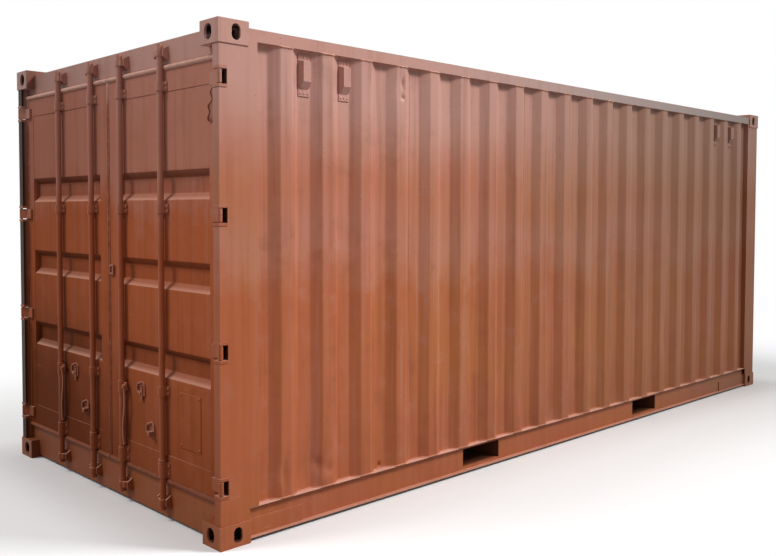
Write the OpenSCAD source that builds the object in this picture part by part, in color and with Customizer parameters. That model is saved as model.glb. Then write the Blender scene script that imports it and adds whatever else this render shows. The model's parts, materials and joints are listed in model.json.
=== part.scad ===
// Dry freight container with corrugated steel walls and two hinged doors.
// X runs along the length with the doors at -X, Y across the width, Z up.
// The base is at Z = 0 and all sizes are in millimetres.

/* [Overall] */
// outside length over the corner castings
box_l = 6058; // [4000:1:8000]
// outside width over the corner castings
box_w = 2438; // [2000:1:2600]
// outside height over the corner castings
box_h = 2591; // [2200:1:2900]
// how far posts and rails stand back from the casting faces
face_inset = 6; // [3:0.5:12]

/* [Corner castings] */
// casting length along X
cast_x = 178; // [150:1:200]
// casting width along Y
cast_y = 162; // [140:1:180]
// casting height
cast_z = 118; // [100:1:130]
// wall that carries the long slot
cast_slot_wall = 28; // [20:1:34]
// other casting walls
cast_wall = 14; // [10:1:18]
// long slot length
slot_l = 124; // [110:1:130]
// long slot width
slot_w = 63.5; // [55:0.5:68]
// slot centre from the end face
slot_from_end = 102.5; // [95:0.5:106]
// slot centre from the side face
slot_from_side = 89.5; // [80:0.5:95]
// side and end eye height
eye_h = 79.5; // [70:0.5:84]
// side eye width
side_eye_w = 51; // [45:0.5:60]
// end eye width
end_eye_w = 63.5; // [50:0.5:68]

/* [Posts] */
// plate thickness of the corner posts
post_t = 6; // [4:0.5:10]
// rear post length along the side wall
rear_post_l = 232; // [190:1:260]
// rear post width beside the door edge
rear_post_w = 59; // [50:1:70]
// rear post stop behind the door edge, added width
rear_stop = 10; // [6:1:20]
// front post length along the side wall
front_post_l = 199; // [185:1:230]
// front post width along the front wall
front_post_w = 162; // [162:1:180]
// front post leg depth
front_leg = 48; // [36:1:60]

/* [Rails] */
// top rail size, a square tube
top_rail = 60; // [50:1:80]
// tube wall of the top rails
tube_t = 4; // [3:0.5:6]
// top rails stand this far below the casting tops
top_drop = 31; // [24:1:40]
// bottom rail clearance above the floor
rail_lift = 18; // [12:1:24]
// bottom rail height
rail_h = 160; // [140:1:180]
// bottom rail plate thickness
rail_t = 5; // [4:0.5:8]
// top flange width of the bottom rail
rail_top_flange = 48; // [40:1:60]
// rail web behind the wall face
web_in = 25; // [20:1:30]
// bottom flange width of the bottom rail
rail_low_flange = 30; // [20:1:40]
// length of the web plate at the door end
rear_web_plate = 352; // [200:1:500]
// length of the web plate at the front end
front_web_plate = 498; // [200:1:600]
// web plate height
web_plate_h = 88; // [60:1:100]
// web plate thickness
web_plate_t = 8; // [4:0.5:12]
// depth of the sills along X
sill_d = 82; // [70:1:110]

/* [Walls] */
// sheet thickness
sheet_t = 2; // [1.5:0.5:4]
// wall corrugation depth
wave_d = 36; // [25:1:40]
// outer flat of a corrugation
wave_out = 72; // [50:1:110]
// inner flat of a corrugation
wave_in = 81; // [70:1:110]
// run of each corrugation slope
wave_slope = 62; // [40:1:90]
// number of roof ribs
roof_ribs = 20; // [8:1:26]
// roof rib height
rib_h = 16; // [8:1:20]
// roof rib width at its foot
rib_w = 110; // [60:1:150]
// run of each roof rib slope
rib_slope = 24; // [15:1:40]
// plain margin of the roof beside the ribs
rib_margin = 175; // [160:1:260]
// plain margin of the roof before the first rib and after the last
rib_end = 60; // [40:1:120]

/* [Vents] */
// vent flange width
vent_w = 76; // [50:1:78]
// vent flange height
vent_h = 218; // [160:1:260]
// vent flange thickness
vent_t = 3; // [2:0.5:5]
// vent hood height
hood_h = 156; // [100:1:180]
// vent hood front face width
hood_front = 50; // [30:1:56]
// vent centre below the top rail
vent_drop = 126; // [115:1:200]

/* [Base] */
// floor board thickness
floor_t = 28; // [18:1:34]
// floor board underside height
floor_z = 160; // [150:1:172]
// cross member height
cross_h = 122; // [90:1:130]
// cross member flange width
cross_w = 45; // [35:1:60]
// cross member plate thickness
cross_t = 4; // [3:0.5:6]
// cross member pitch
cross_pitch = 300; // [250:1:400]
// fork pocket opening width
fork_w = 360; // [340:1:380]
// fork pocket opening height
fork_h = 115; // [100:1:115]
// distance between the fork pocket centres
fork_pitch = 2050; // [1900:1:2100]
// fork pocket plate thickness
fork_t = 5; // [4:0.5:6]
// length of the plates that close a pocket below, from each rail
fork_strap = 200; // [120:1:400]
// thickness of those plates
strap_t = 6; // [4:0.5:8]

/* [Doors] */
// door face behind the end plane of the castings
door_inset = 45; // [44:1:60]
// door leaf thickness
door_t = 48; // [44:1:60]
// door stile width
stile_w = 100; // [60:1:130]
// hinge stile width
hinge_stile_w = 82; // [60:1:110]
// top frame member height
door_top_h = 129; // [90:1:160]
// bottom frame member height
door_low_h = 141; // [100:1:180]
// frame wall thickness
door_wall = 4; // [3:0.5:6]
// clear gap between moving door edges and the frame
door_gap = 5; // [4:0.5:8]
// half of the gap between the two door seals
meet_gap = 3.5; // [3:0.5:6]
// seal width around each door
seal_w = 5; // [4:0.5:8]
// radius of the rounded top and bottom seal beads
bead_r = 13; // [8:0.5:15]
// radius of the rounded upright seal beads
side_bead_r = 5; // [3:0.5:8]
// door sheet behind the frame face
panel_back = 2; // [1:0.5:4]
// pressed band height in the door sheet
band_h = 154; // [110:1:170]
// pressed band depth
band_d = 34; // [20:1:36]
// run of the pressed band slopes
band_slope = 36; // [20:1:50]
// distance between the bands' middles
band_gap = 476; // [380:1:500]
// breaks of the seal beads stand this far clear of rods and hinges
bead_clear = 2; // [1:0.5:4]
// top of the door sill
sill_top = 200; // [195:1:230]
// height of the door header
header_h = 125; // [110:1:160]
// header and sill face behind the end plane
head_inset = 54; // [52:1:64]
// header depth along X
header_d = 92; // [70:1:120]

/* [Hinges] */
// hinge pin radius
pin_r = 8; // [6:0.5:9]
// hinge pin running clearance
pin_play = 0.05; // [0.02:0.01:0.1]
// knuckle radius
knuckle_r = 12.5; // [11.5:0.5:13.5]
// hinge pin centre from the end plane
pin_from_end = 14; // [14:0.5:16]
// hinge pin centre from the side plane
pin_from_side = 14; // [14:0.5:16]
// hinge blade height
blade_h = 64; // [40:1:80]
// hinge blade thickness
blade_t = 14; // [8:1:16]
// hinge blade reach from the pin
blade_l = 109; // [90:1:140]
// lug plate thickness
lug_t = 15; // [8:1:20]
// gap between a blade and its lugs
lug_gap = 5; // [3:0.5:8]
// lugs stand out from the post faces
lug_proud = 3; // [1:0.5:4]
// lowest hinge above the sill
hinge_rise = 105; // [100:1:160]
// highest hinge below the header
hinge_drop = 123; // [100:1:160]

/* [Lock gear] */
// lock rod radius
rod_r = 16.5; // [14:0.5:17]
// rod centre behind the end plane
rod_inset = 23; // [22.5:0.5:24]
// outer rod distance from the hinge edge of its leaf
rod_from_hinge = 520; // [440:1:560]
// inner rod distance from the meeting edge of its leaf
rod_from_meet = 173; // [150:1:220]
// rod end below the bottom cam's middle
rod_under = 42; // [30:1:55]
// rod end above the top cam's middle
rod_over = 46; // [30:1:55]
// bearing clearance around a rod
rod_play = 0.8; // [0.3:0.1:1.5]
// bearing ring wall
ring_t = 4.8; // [3:0.1:5]
// bearing foot plate width
foot_w = 84; // [60:1:100]
// bearing foot plate thickness
foot_t = 4; // [3:0.5:4.5]
// bearing height
bearing_h = 52; // [30:1:60]
// lower bearing height
sleeve_h = 82; // [50:1:84]
// cam collar radius
cam_r = 21; // [19:0.5:21.5]
// cam finger reach from the rod centre
cam_l = 42; // [32:1:46]
// cam finger width
cam_w = 24; // [14:1:28]
// cam height
cam_h = 32; // [20:1:40]
// top cam centre above the header's lower edge
cam_up = 57; // [48:1:70]
// bottom cam centre below the sill's top
cam_down = 96; // [85:1:108]
// middle bearing centre below the top of the door sheet
bearing_drop = 615; // [500:1:700]
// low bearing centre above the handle pivot
bearing_rise = 36; // [32:1:60]
// gap between a cam and the keeper ears
cam_gap = 8; // [6:0.5:12]
// keeper plate thickness
keeper_t = 10; // [6:1:12]
// keeper height
keeper_h = 72; // [50:1:80]
// keeper ear depth in front of its foot
keeper_d = 29; // [20:1:32]

/* [Handles] */
// handle pivot height
handle_z = 668; // [640:1:690]
// handle pivot distance from the rod centre
handle_off = 36; // [34:1:44]
// handle length from the pivot to the grip end
handle_l = 325; // [240:1:325]
// handle bar width
handle_w = 13; // [10:0.5:15]
// handle bar thickness
handle_t = 10; // [6:0.5:10]
// sideways bend of the handle
handle_bend = 10; // [4:0.5:10]
// handle pivot pin radius
handle_pin_r = 7; // [5:0.5:8]
// reach of the bare lug from the rod centre
stub_l = 40; // [34:1:46]
// hanging length of the bare lug
stub_h = 60; // [30:1:70]
// upper catch height
catch_hi_z = 680; // [660:1:700]
// lower catch height
catch_lo_z = 470; // [440:1:520]
// catch depth in front of the door sheet
catch_d = 20; // [14:0.5:21]
// catch width
catch_w = 72; // [60:1:84]
// reach of the catch foot below its arch's centre
catch_h = 44; // [40:1:56]
// thickness of the catch foot
catch_foot = 6; // [4:0.5:8]
// thickness of the catch hook
catch_t = 9; // [6:0.5:12]
// the catch foot stands out round the hook by this
catch_lip = 2; // [1:0.5:4]
// width of the rest on a lower catch
rest_w = 20; // [14:1:22]
// depth of the rest in front of the door sheet
rest_d = 36; // [24:1:38]
// rest height at its front edge
rest_h = 20; // [12:1:26]
// rest top below the arch's centre
rest_drop = 10; // [8:1:14]
// width of the hanging tongue
tongue_w = 18; // [14:1:22]
// thickness of the hanging tongue
tongue_t = 6; // [4:0.5:7]
// reach of the tongue below the arch's centre
tongue_l = 72; // [62:1:80]
// rivet of the tongue above the arch's centre
tongue_up = 12; // [8:1:16]
// radius of the tongue's eye and rivet
tongue_eye = 4.5; // [3:0.5:6]
// left door, upper catch from the outer rod, as a share of the rods' distance
catch_1 = 0.372; // [0.3:0.002:0.45]
// left door, lower catch from the inner rod, as a share of the rods' distance
catch_2 = 0.312; // [0.26:0.002:0.4]
// right door, upper catch from the inner rod, as a share of the rods' distance
catch_3 = 0.424; // [0.36:0.002:0.48]
// right door, lower catch from the outer rod, as a share of the rods' distance
catch_4 = 0.35; // [0.28:0.002:0.42]

/* [Door fittings] */
// bare plate width
plate_w = 200; // [150:1:240]
// bare plate height
plate_h = 291; // [200:1:320]
// bare plate thickness
plate_t = 3; // [2:0.5:5]
// bare plate from the hinge edge of the door sheet
plate_in = 93; // [60:1:120]
// bare plate above the lower edge of the door sheet
plate_up = 69; // [40:1:100]
// bracket width beside the meeting edge
bracket_w = 50; // [40:1:60]
// bracket height
bracket_h = 56; // [40:1:70]
// bracket depth
bracket_d = 14; // [10:0.5:18]
// bracket wall
bracket_wall = 10; // [6:0.5:14]

/* [Hidden] */
$fn = 48;
eps = 0.01;
end_x = box_l / 2;
side_y = box_w / 2;
frame_y = side_y - face_inset;
wall_y = frame_y - 2;
rear_x = -end_x + face_inset;
front_x = end_x - face_inset;
cast_in_x = end_x - cast_x;
cast_in_y = side_y - cast_y;
top_cast_z = box_h - cast_z;
rail_top = rail_lift + rail_h;
roof_z = box_h - top_drop;
header_low = roof_z - header_h;
head_z = roof_z - top_rail;
rear_seam = -end_x + rear_post_l;
front_seam = end_x - front_post_l;
pitch = wave_out + 2 * wave_slope + wave_in;
web_y = wall_y - web_in;
flange_in_y = wall_y - rail_top_flange;
door_x = -end_x + door_inset;
door_back = door_x + door_t;
panel_x = door_x + panel_back;
head_x = -end_x + head_inset;
post_in_y = side_y - rear_post_w;
stop_y = post_in_y - rear_stop;
stop_x = door_back + 7;
seal_y1 = post_in_y - door_gap;
leaf_y1 = seal_y1 - seal_w;
leaf_y0 = meet_gap + seal_w - 0.5;
seal_z0 = sill_top + door_gap;
seal_z1 = header_low - door_gap;
leaf_z0 = seal_z0 + 2 * seal_w;
leaf_z1 = seal_z1 - 2 * seal_w;
panel_z0 = leaf_z0 + door_low_h;
panel_z1 = leaf_z1 - door_top_h;
panel_y0 = leaf_y0 + stile_w;
panel_y1 = leaf_y1 - hinge_stile_w;
band_mid = (panel_z0 + panel_z1) / 2;
pin_x = -end_x + pin_from_end;
pin_y = side_y - pin_from_side;
notch_x = door_x + 6;
notch_h = blade_h + 2 * lug_gap + 2 * lug_t;
hinge_z = sill_top + hinge_rise;
hinge_pitch = (header_low - hinge_drop - hinge_z) / 3;
hinge_zs = [for (i = [0:3]) hinge_z + i * hinge_pitch];
rod_x = -end_x + rod_inset;
ring_r = rod_r + rod_play + ring_t;
bearing_top_z = panel_z1 + 3 + bearing_h / 2;
bearing_mid_z = panel_z1 - bearing_drop;
bearing_low_z = handle_z + bearing_rise;
sleeve_z0 = seal_z0 + 2 * bead_r + 5;
rod_outer_y = leaf_y1 - rod_from_hinge;
rod_inner_y = leaf_y0 + rod_from_meet;
rod_span = rod_outer_y - rod_inner_y;
cam_top_z = header_low + cam_up;
cam_low_z = sill_top - cam_down;
rod_z0 = cam_low_z - rod_under;
rod_z1 = cam_top_z + rod_over;
rod_ys = [rod_outer_y, rod_inner_y, -rod_inner_y, -rod_outer_y];
rod_dirs = [-1, 1, -1, 1];
handle_x0 = rod_x - 13;
fork_z = floor_z - fork_t - fork_h;
rib_pitch = (2 * front_x - 2 * rib_end) / roof_ribs;

// box between two corners
module block(x0, x1, y0, y1, z0, z1) {
    translate([x0, y0, z0]) cube([x1 - x0, y1 - y0, z1 - z0]);
}

// outline in X and Z carried along Y
module along_y(y0, y1) {
    translate([0, y1, 0]) rotate([90, 0, 0]) linear_extrude(y1 - y0) children();
}

// outline in Y and Z carried along X
module along_x(x0, x1) {
    translate([x0, 0, 0]) rotate([90, 0, 90]) linear_extrude(x1 - x0) children();
}

// outline in X and Y carried up
module along_z(z0, z1) {
    translate([0, 0, z0]) linear_extrude(z1 - z0) children();
}

// the -Y side is the mirror image of the +Y side
module right_hand() {
    mirror([0, 1, 0]) children();
}

// slot with round ends, long along the first axis
module slot_2d(l, w) {
    square([l - w, w], center = true);
    for (s = [-1, 1]) {
        translate([s * (l - w) / 2, 0]) circle(d = w);
    }
}

// hollow rectangular tube outline
module tube_2d(x0, x1, y0, y1, t) {
    difference() {
        translate([x0, y0]) square([x1 - x0, y1 - y0]);
        translate([x0 + t, y0 + t]) square([x1 - x0 - 2 * t, y1 - y0 - 2 * t]);
    }
}

// number of whole corrugations that fit a wall
function waves(l) = floor((l - wave_in) / pitch);

// start of the first slope of a wall between a and b
function wave_start(a, b) =
    (a + b) / 2 - (waves(b - a) * pitch - wave_in) / 2;

// corrugated edge from a to b, with y as the outer face
function wave_edge(a, b, y) = concat(
    [[a, y - wave_d]],
    [for (k = [0:waves(b - a) - 1], p = [0:3])
        let (x = wave_start(a, b) + k * pitch)
        p == 0 ? [x, y - wave_d]
        : p == 1 ? [x + wave_slope, y]
        : p == 2 ? [x + wave_slope + wave_out, y]
        : [x + 2 * wave_slope + wave_out, y - wave_d]],
    [[b, y - wave_d]]
);

function reversed(v) = [for (i = [len(v) - 1:-1:0]) v[i]];
function lowered(v, d) = [for (p = v) [p[0], p[1] - d]];

// corrugated sheet outline
module wave_2d(a, b, y) {
    edge = wave_edge(a, b, y);
    polygon(concat(edge, reversed(lowered(edge, sheet_t))));
}

// one casting in its own corner, with the slot wall on top
module casting() {
    difference() {
        cube([cast_x, cast_y, cast_z]);
        translate([cast_wall, cast_wall, cast_wall])
            cube([
                cast_x - 2 * cast_wall,
                cast_y - 2 * cast_wall,
                cast_z - cast_wall - cast_slot_wall
            ]);
        translate([slot_from_end, slot_from_side, cast_z - cast_slot_wall - eps])
            linear_extrude(cast_slot_wall + 1) slot_2d(slot_l, slot_w);
        translate([slot_from_end, -1, cast_z / 2])
            rotate([-90, 0, 0]) linear_extrude(cast_wall + 1 + eps)
                rotate(90) slot_2d(eye_h, side_eye_w);
        translate([-1, slot_from_side, cast_z / 2])
            rotate([0, 90, 0]) linear_extrude(cast_wall + 1 + eps)
                slot_2d(eye_h, end_eye_w);
    }
}

module top_castings() {
    color([0.60, 0.36, 0.27])
    for (mx = [0, 1], my = [0, 1]) {
        mirror([mx, 0, 0]) mirror([0, my, 0])
            translate([-end_x, -side_y, top_cast_z]) casting();
    }
}

module bottom_castings() {
    color([0.55, 0.31, 0.22])
    for (mx = [0, 1], my = [0, 1]) {
        mirror([mx, 0, 0]) mirror([0, my, 0])
            translate([-end_x, -side_y, cast_z]) mirror([0, 0, 1]) casting();
    }
}

// rear post outline, stepped behind the door edge, t in from its faces
module rear_post_2d(t) {
    polygon([
        [rear_x + t, frame_y - t],
        [rear_seam - t, frame_y - t],
        [rear_seam - t, stop_y + t],
        [stop_x + t, stop_y + t],
        [stop_x + t, post_in_y + t],
        [rear_x + t, post_in_y + t]
    ]);
}

module rear_post_shell_2d() {
    difference() {
        rear_post_2d(0);
        rear_post_2d(post_t);
    }
}

// the post stands on the casting, and its wing on the bottom rail
module left_rear_post() {
    color([0.58, 0.34, 0.25])
    difference() {
        union() {
            along_z(cast_z, top_cast_z) intersection() {
                rear_post_shell_2d();
                translate([-end_x, 0]) square([cast_x, side_y]);
            }
            along_z(rail_top, head_z) intersection() {
                rear_post_shell_2d();
                translate([-cast_in_x, 0]) square([rear_post_l, side_y]);
            }
            for (z = hinge_zs) {
                block(
                    notch_x, notch_x + post_t,
                    post_in_y, frame_y,
                    z - notch_h / 2 - post_t, z + notch_h / 2 + post_t
                );
            }
        }
        for (z = hinge_zs) {
            block(
                -end_x, notch_x,
                post_in_y - 1, side_y,
                z - notch_h / 2, z + notch_h / 2
            );
        }
    }
}

module right_rear_post() {
    right_hand() left_rear_post();
}

// front post outline, an angle of two hollow legs, t in from its faces
module front_post_2d(t) {
    polygon([
        [front_x - t, frame_y - t],
        [front_seam + t, frame_y - t],
        [front_seam + t, frame_y - front_leg + t],
        [front_x - front_leg + t, frame_y - front_leg + t],
        [front_x - front_leg + t, side_y - front_post_w + t],
        [front_x - t, side_y - front_post_w + t]
    ]);
}

module front_post_shell_2d() {
    difference() {
        front_post_2d(0);
        front_post_2d(post_t);
    }
}

module left_front_post() {
    color([0.58, 0.34, 0.25])
    union() {
        along_z(cast_z, top_cast_z) intersection() {
            front_post_shell_2d();
            translate([cast_in_x, 0]) square([cast_x, side_y]);
        }
        along_z(rail_top, head_z) intersection() {
            front_post_shell_2d();
            translate([front_seam - 1, 0]) square([cast_in_x - front_seam + 1, side_y]);
        }
    }
}

module right_front_post() {
    right_hand() left_front_post();
}

module left_side_panel() {
    color([0.63, 0.38, 0.29])
    along_z(rail_top, head_z) wave_2d(rear_seam, front_seam, wall_y);
}

module right_side_panel() {
    right_hand() left_side_panel();
}

module front_panel() {
    front_y = min(side_y - front_post_w, cast_in_y);
    color([0.63, 0.38, 0.29])
    rotate([0, 0, -90])
        along_z(rail_top, head_z)
            wave_2d(-front_y, front_y, front_x - 2);
}

// rib outline over the roof sheet, d in from its faces
module rib_2d(d) {
    polygon([
        [-rib_w / 2 + d, 0],
        [-rib_w / 2 + rib_slope + d, rib_h + sheet_t - d],
        [rib_w / 2 - rib_slope - d, rib_h + sheet_t - d],
        [rib_w / 2 - d, 0]
    ]);
}

module roof_panel() {
    rib_y = side_y - rib_margin;
    color([0.63, 0.38, 0.29])
    difference() {
        union() {
            block(head_x, front_x - 2, -wall_y, wall_y, roof_z, roof_z + sheet_t);
            for (i = [0:roof_ribs - 1]) {
                translate([(i - (roof_ribs - 1) / 2) * rib_pitch, 0, roof_z])
                    along_y(-rib_y, rib_y) rib_2d(0);
            }
        }
        for (i = [0:roof_ribs - 1]) {
            translate([(i - (roof_ribs - 1) / 2) * rib_pitch, 0, roof_z])
                along_y(-rib_y + sheet_t, rib_y - sheet_t)
                    translate([0, -eps]) rib_2d(sheet_t);
        }
        for (sx = [-1, 1], sy = [-1, 1]) {
            translate([sx * (cast_in_x + cast_x / 2), sy * (cast_in_y + cast_y / 2), roof_z])
                cube([cast_x, cast_y, 4 * rib_h], center = true);
        }
    }
}

module left_top_rail() {
    color([0.62, 0.40, 0.33])
    along_x(-cast_in_x, cast_in_x)
        tube_2d(wall_y - top_rail, wall_y, head_z, roof_z, tube_t);
}

module right_top_rail() {
    right_hand() left_top_rail();
}

module front_top_rail() {
    color([0.62, 0.40, 0.33])
    along_y(-cast_in_y, cast_in_y)
        tube_2d(front_x - 2 - top_rail, front_x - 2, head_z, roof_z, tube_t);
}

// header box over the doors, with wings under the castings
module door_header() {
    color([0.58, 0.36, 0.29])
    union() {
        along_y(-cast_in_y, cast_in_y)
            tube_2d(head_x, head_x + header_d, header_low, roof_z, tube_t);
        for (s = [0, 1]) {
            mirror([0, s, 0])
                along_y(cast_in_y, stop_y)
                    tube_2d(head_x, head_x + header_d, header_low, top_cast_z, tube_t);
        }
    }
}

// sill box under the doors, with wings over the castings
module door_sill() {
    color([0.42, 0.24, 0.17])
    union() {
        along_y(-cast_in_y, cast_in_y)
            tube_2d(head_x, head_x + sill_d, rail_lift, sill_top, tube_t);
        for (s = [0, 1]) {
            mirror([0, s, 0])
                along_y(cast_in_y, stop_y)
                    tube_2d(head_x, head_x + sill_d, cast_z, sill_top, tube_t);
        }
    }
}

module front_sill() {
    color([0.50, 0.30, 0.22])
    along_y(-cast_in_y, cast_in_y)
        tube_2d(front_x - 2 - sill_d, front_x - 2, rail_lift, rail_top, tube_t);
}

// bottom rail outline in Y and Z, a channel with its lower flange turned out
module rail_2d() {
    translate([web_y - rail_t, rail_lift]) square([rail_t, rail_h]);
    translate([flange_in_y, rail_top - rail_t]) square([rail_top_flange, rail_t]);
    translate([wall_y - rail_low_flange, rail_lift]) square([rail_low_flange, rail_t]);
}

// lengths of rail beside the fork pockets, with plates on the web at both ends
module left_bottom_rail() {
    side = fork_pitch / 2 + fork_w / 2;
    near = fork_pitch / 2 - fork_w / 2;
    color([0.58, 0.33, 0.24]) {
        along_x(-near, near) rail_2d();
        for (s = [-1, 1]) {
            plate = s < 0 ? rear_web_plate : front_web_plate;
            end = s * cast_in_x;
            along_x(min(s * side, end), max(s * side, end)) rail_2d();
            block(
                min(end, end - s * plate), max(end, end - s * plate),
                web_y - 1, web_y + web_plate_t,
                rail_lift + rail_t - 1, rail_lift + rail_t + web_plate_h
            );
        }
    }
}

module right_bottom_rail() {
    right_hand() left_bottom_rail();
}

// rail over and under the fork pockets' mouths, with the pockets' tops and straps
module pocket_bridges() {
    y = web_y - rail_t;
    top_z = fork_z + fork_h;
    color([0.52, 0.30, 0.22])
    for (s = [-1, 1]) {
        translate([s * fork_pitch / 2, 0, 0]) {
            block(-fork_w / 2 - fork_t, fork_w / 2 + fork_t, -y, y, top_z, top_z + fork_t);
            for (m = [0, 1]) {
                mirror([0, m, 0]) {
                    along_x(-fork_w / 2, fork_w / 2) intersection() {
                        rail_2d();
                        translate([0, top_z]) square([side_y, rail_top]);
                    }
                    block(-fork_w / 2, fork_w / 2, y - 1, y + 1, top_z, top_z + fork_t);
                    along_x(-fork_w / 2, fork_w / 2) intersection() {
                        rail_2d();
                        square([side_y, fork_z]);
                    }
                    block(
                        -fork_w / 2, fork_w / 2,
                        y - fork_strap, y + 1,
                        fork_z - strap_t, fork_z
                    );
                }
            }
        }
    }
}

// cross member outline in X and Z, an open channel
module cross_2d() {
    z0 = floor_z - cross_h;
    difference() {
        translate([-cross_w / 2, z0]) square([cross_w, cross_h]);
        translate([-cross_w / 2 + cross_t, z0 + cross_t])
            square([cross_w, cross_h - 2 * cross_t]);
    }
}

module cross_members() {
    y = web_y - rail_t;
    reach = cast_in_x - cross_w;
    count = floor(reach / cross_pitch);
    color([0.35, 0.20, 0.14])
    for (i = [-count:count]) {
        x = i * cross_pitch;
        if (abs(abs(x) - fork_pitch / 2) > fork_w / 2 + fork_t + cross_w) {
            translate([x, 0, 0]) along_y(-y, y) cross_2d();
        }
    }
}

// tunnels through the base, closed above and partly closed below
module fork_pockets() {
    y = web_y - rail_t;
    color([0.40, 0.23, 0.16])
    for (s = [-1, 1], e = [0, 1]) {
        translate([s * fork_pitch / 2, 0, 0]) mirror([e, 0, 0]) block(
            fork_w / 2, fork_w / 2 + fork_t,
            -y, y,
            fork_z - strap_t, fork_z + fork_h
        );
    }
}

// floor, narrower between the rear posts
module floor_deck() {
    y = flange_in_y - 3;
    y_rear = min(y, stop_y);
    color([0.45, 0.32, 0.20]) {
        block(rear_seam, front_x - 2 - sill_d, -y, y, floor_z, floor_z + floor_t);
        block(
            head_x + sill_d, rear_seam + 1,
            -y_rear, y_rear,
            floor_z, floor_z + floor_t
        );
    }
}

// vent with a flat flange and a hood that narrows to its front face
module vent() {
    hood_d = wave_d - 4;
    back = wall_y - wave_d;
    z1 = hood_h / 2;
    r = vent_w / 2 - 2;
    translate([-vent_w / 2, back, -vent_h / 2]) cube([vent_w, vent_t, vent_h]);
    intersection() {
        along_z(-hood_h, hood_h) polygon([
            [-r, back],
            [r, back],
            [hood_front / 2, back + hood_d],
            [-hood_front / 2, back + hood_d]
        ]);
        along_x(-vent_w, vent_w) polygon([
            [back, z1],
            [back + hood_d, z1 - 8],
            [back + hood_d, -z1 + 44],
            [back, -z1]
        ]);
        translate([0, back + hood_d + 1, 0])
            rotate([90, 0, 0]) linear_extrude(hood_d + 1 + eps) {
                translate([-r, -z1 + r]) square([2 * r, hood_h]);
                translate([0, -z1 + r]) circle(r);
            }
    }
}

module vents() {
    n = waves(front_seam - rear_seam);
    x0 = wave_start(rear_seam, front_seam) + pitch - wave_in / 2;
    color([0.64, 0.42, 0.34])
    for (m = [0, 1], k = [0, 1, n - 3, n - 2]) {
        mirror([0, m, 0]) translate([x0 + k * pitch, 0, head_z - vent_drop]) vent();
    }
}

// keeper foot and two ears, about a rod at the origin, cam towards +Y
module keeper() {
    foot_x0 = head_x - 5;
    y0 = -cam_r - cam_gap - keeper_t;
    y1 = cam_l + cam_gap + keeper_t;
    block(foot_x0, head_x, y0, y1, -keeper_h / 2, keeper_h / 2);
    for (y = [y0, y1 - keeper_t]) {
        along_y(y, y + keeper_t) polygon([
            [foot_x0 + 1, -keeper_h / 2],
            [foot_x0 - keeper_d, -keeper_h / 4],
            [foot_x0 - keeper_d, keeper_h / 4],
            [foot_x0 + 1, keeper_h / 2]
        ]);
    }
}

module cam_keepers() {
    color([0.38, 0.24, 0.19])
    for (i = [0:3], z = [cam_low_z, cam_top_z]) {
        translate([0, rod_ys[i], z]) mirror([0, rod_dirs[i] < 0 ? 1 : 0, 0]) keeper();
    }
}

// two lugs and the pin of one hinge
module hinge_lug() {
    for (s = [-1, 1]) {
        block(
            rear_x - lug_proud, notch_x,
            post_in_y, frame_y + lug_proud,
            s > 0 ? notch_h / 2 - lug_t : -notch_h / 2,
            s > 0 ? notch_h / 2 : -notch_h / 2 + lug_t
        );
    }
    translate([pin_x, pin_y, -notch_h / 2]) cylinder(h = notch_h, r = pin_r);
}

module hinge_lugs() {
    color([0.52, 0.32, 0.25])
    for (m = [0, 1], z = hinge_zs) {
        mirror([0, m, 0]) translate([0, 0, z]) hinge_lug();
    }
}

// blade outline: knuckle, cranked neck and the flat on the door face
module blade_2d() {
    back = door_x - pin_x;
    front = back - blade_t;
    translate([pin_x, pin_y]) {
        circle(knuckle_r);
        polygon([
            [-8, -8],
            [front, -42],
            [back, -42],
            [back, -24],
            [10, 2]
        ]);
        translate([front, -blade_l]) square([blade_t, blade_l - 40]);
    }
}

module left_hinge_blades() {
    color([0.50, 0.30, 0.24])
    for (z = hinge_zs) {
        translate([0, 0, z - blade_h / 2]) difference() {
            linear_extrude(blade_h) blade_2d();
            translate([pin_x, pin_y, -1]) cylinder(h = blade_h + 2, r = pin_r + pin_play);
        }
    }
}

module right_hinge_blades() {
    right_hand() left_hinge_blades();
}

// welded frame of hollow stiles and cross pieces
module left_door_frame() {
    color([0.50, 0.29, 0.21])
    difference() {
        block(door_x, door_back, leaf_y0, leaf_y1, leaf_z0, leaf_z1);
        block(door_x - 1, door_back + 1, panel_y0, panel_y1, panel_z0, panel_z1);
        block(
            door_x + door_wall, door_back - door_wall,
            leaf_y0 + door_wall, panel_y0 - door_wall,
            leaf_z0 + door_wall, leaf_z1 - door_wall
        );
        block(
            door_x + door_wall, door_back - door_wall,
            panel_y1 + door_wall, leaf_y1 - door_wall,
            leaf_z0 + door_wall, leaf_z1 - door_wall
        );
        block(
            door_x + door_wall, door_back - door_wall,
            panel_y0, panel_y1,
            leaf_z0 + door_wall, panel_z0 - door_wall
        );
        block(
            door_x + door_wall, door_back - door_wall,
            panel_y0, panel_y1,
            panel_z1 + door_wall, leaf_z1 - door_wall
        );
    }
}

module right_door_frame() {
    right_hand() left_door_frame();
}

// edge of the door sheet in X and Z, with three pressed bands
function band_edge(x) = concat(
    [[x, panel_z0]],
    [for (k = [-1:1], p = [0:3])
        let (z = band_mid + k * band_gap - band_h / 2)
        p == 0 ? [x, z]
        : p == 1 ? [x + band_d, z + band_slope]
        : p == 2 ? [x + band_d, z + band_h - band_slope]
        : [x, z + band_h]],
    [[x, panel_z1]]
);

function shifted(v, d) = [for (p = v) [p[0] + d, p[1]]];

module left_door_panel() {
    edge = band_edge(panel_x);
    color([0.52, 0.29, 0.21])
    along_y(panel_y0, panel_y1)
        polygon(concat(edge, reversed(shifted(edge, sheet_t))));
}

module right_door_panel() {
    right_hand() left_door_panel();
}

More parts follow.
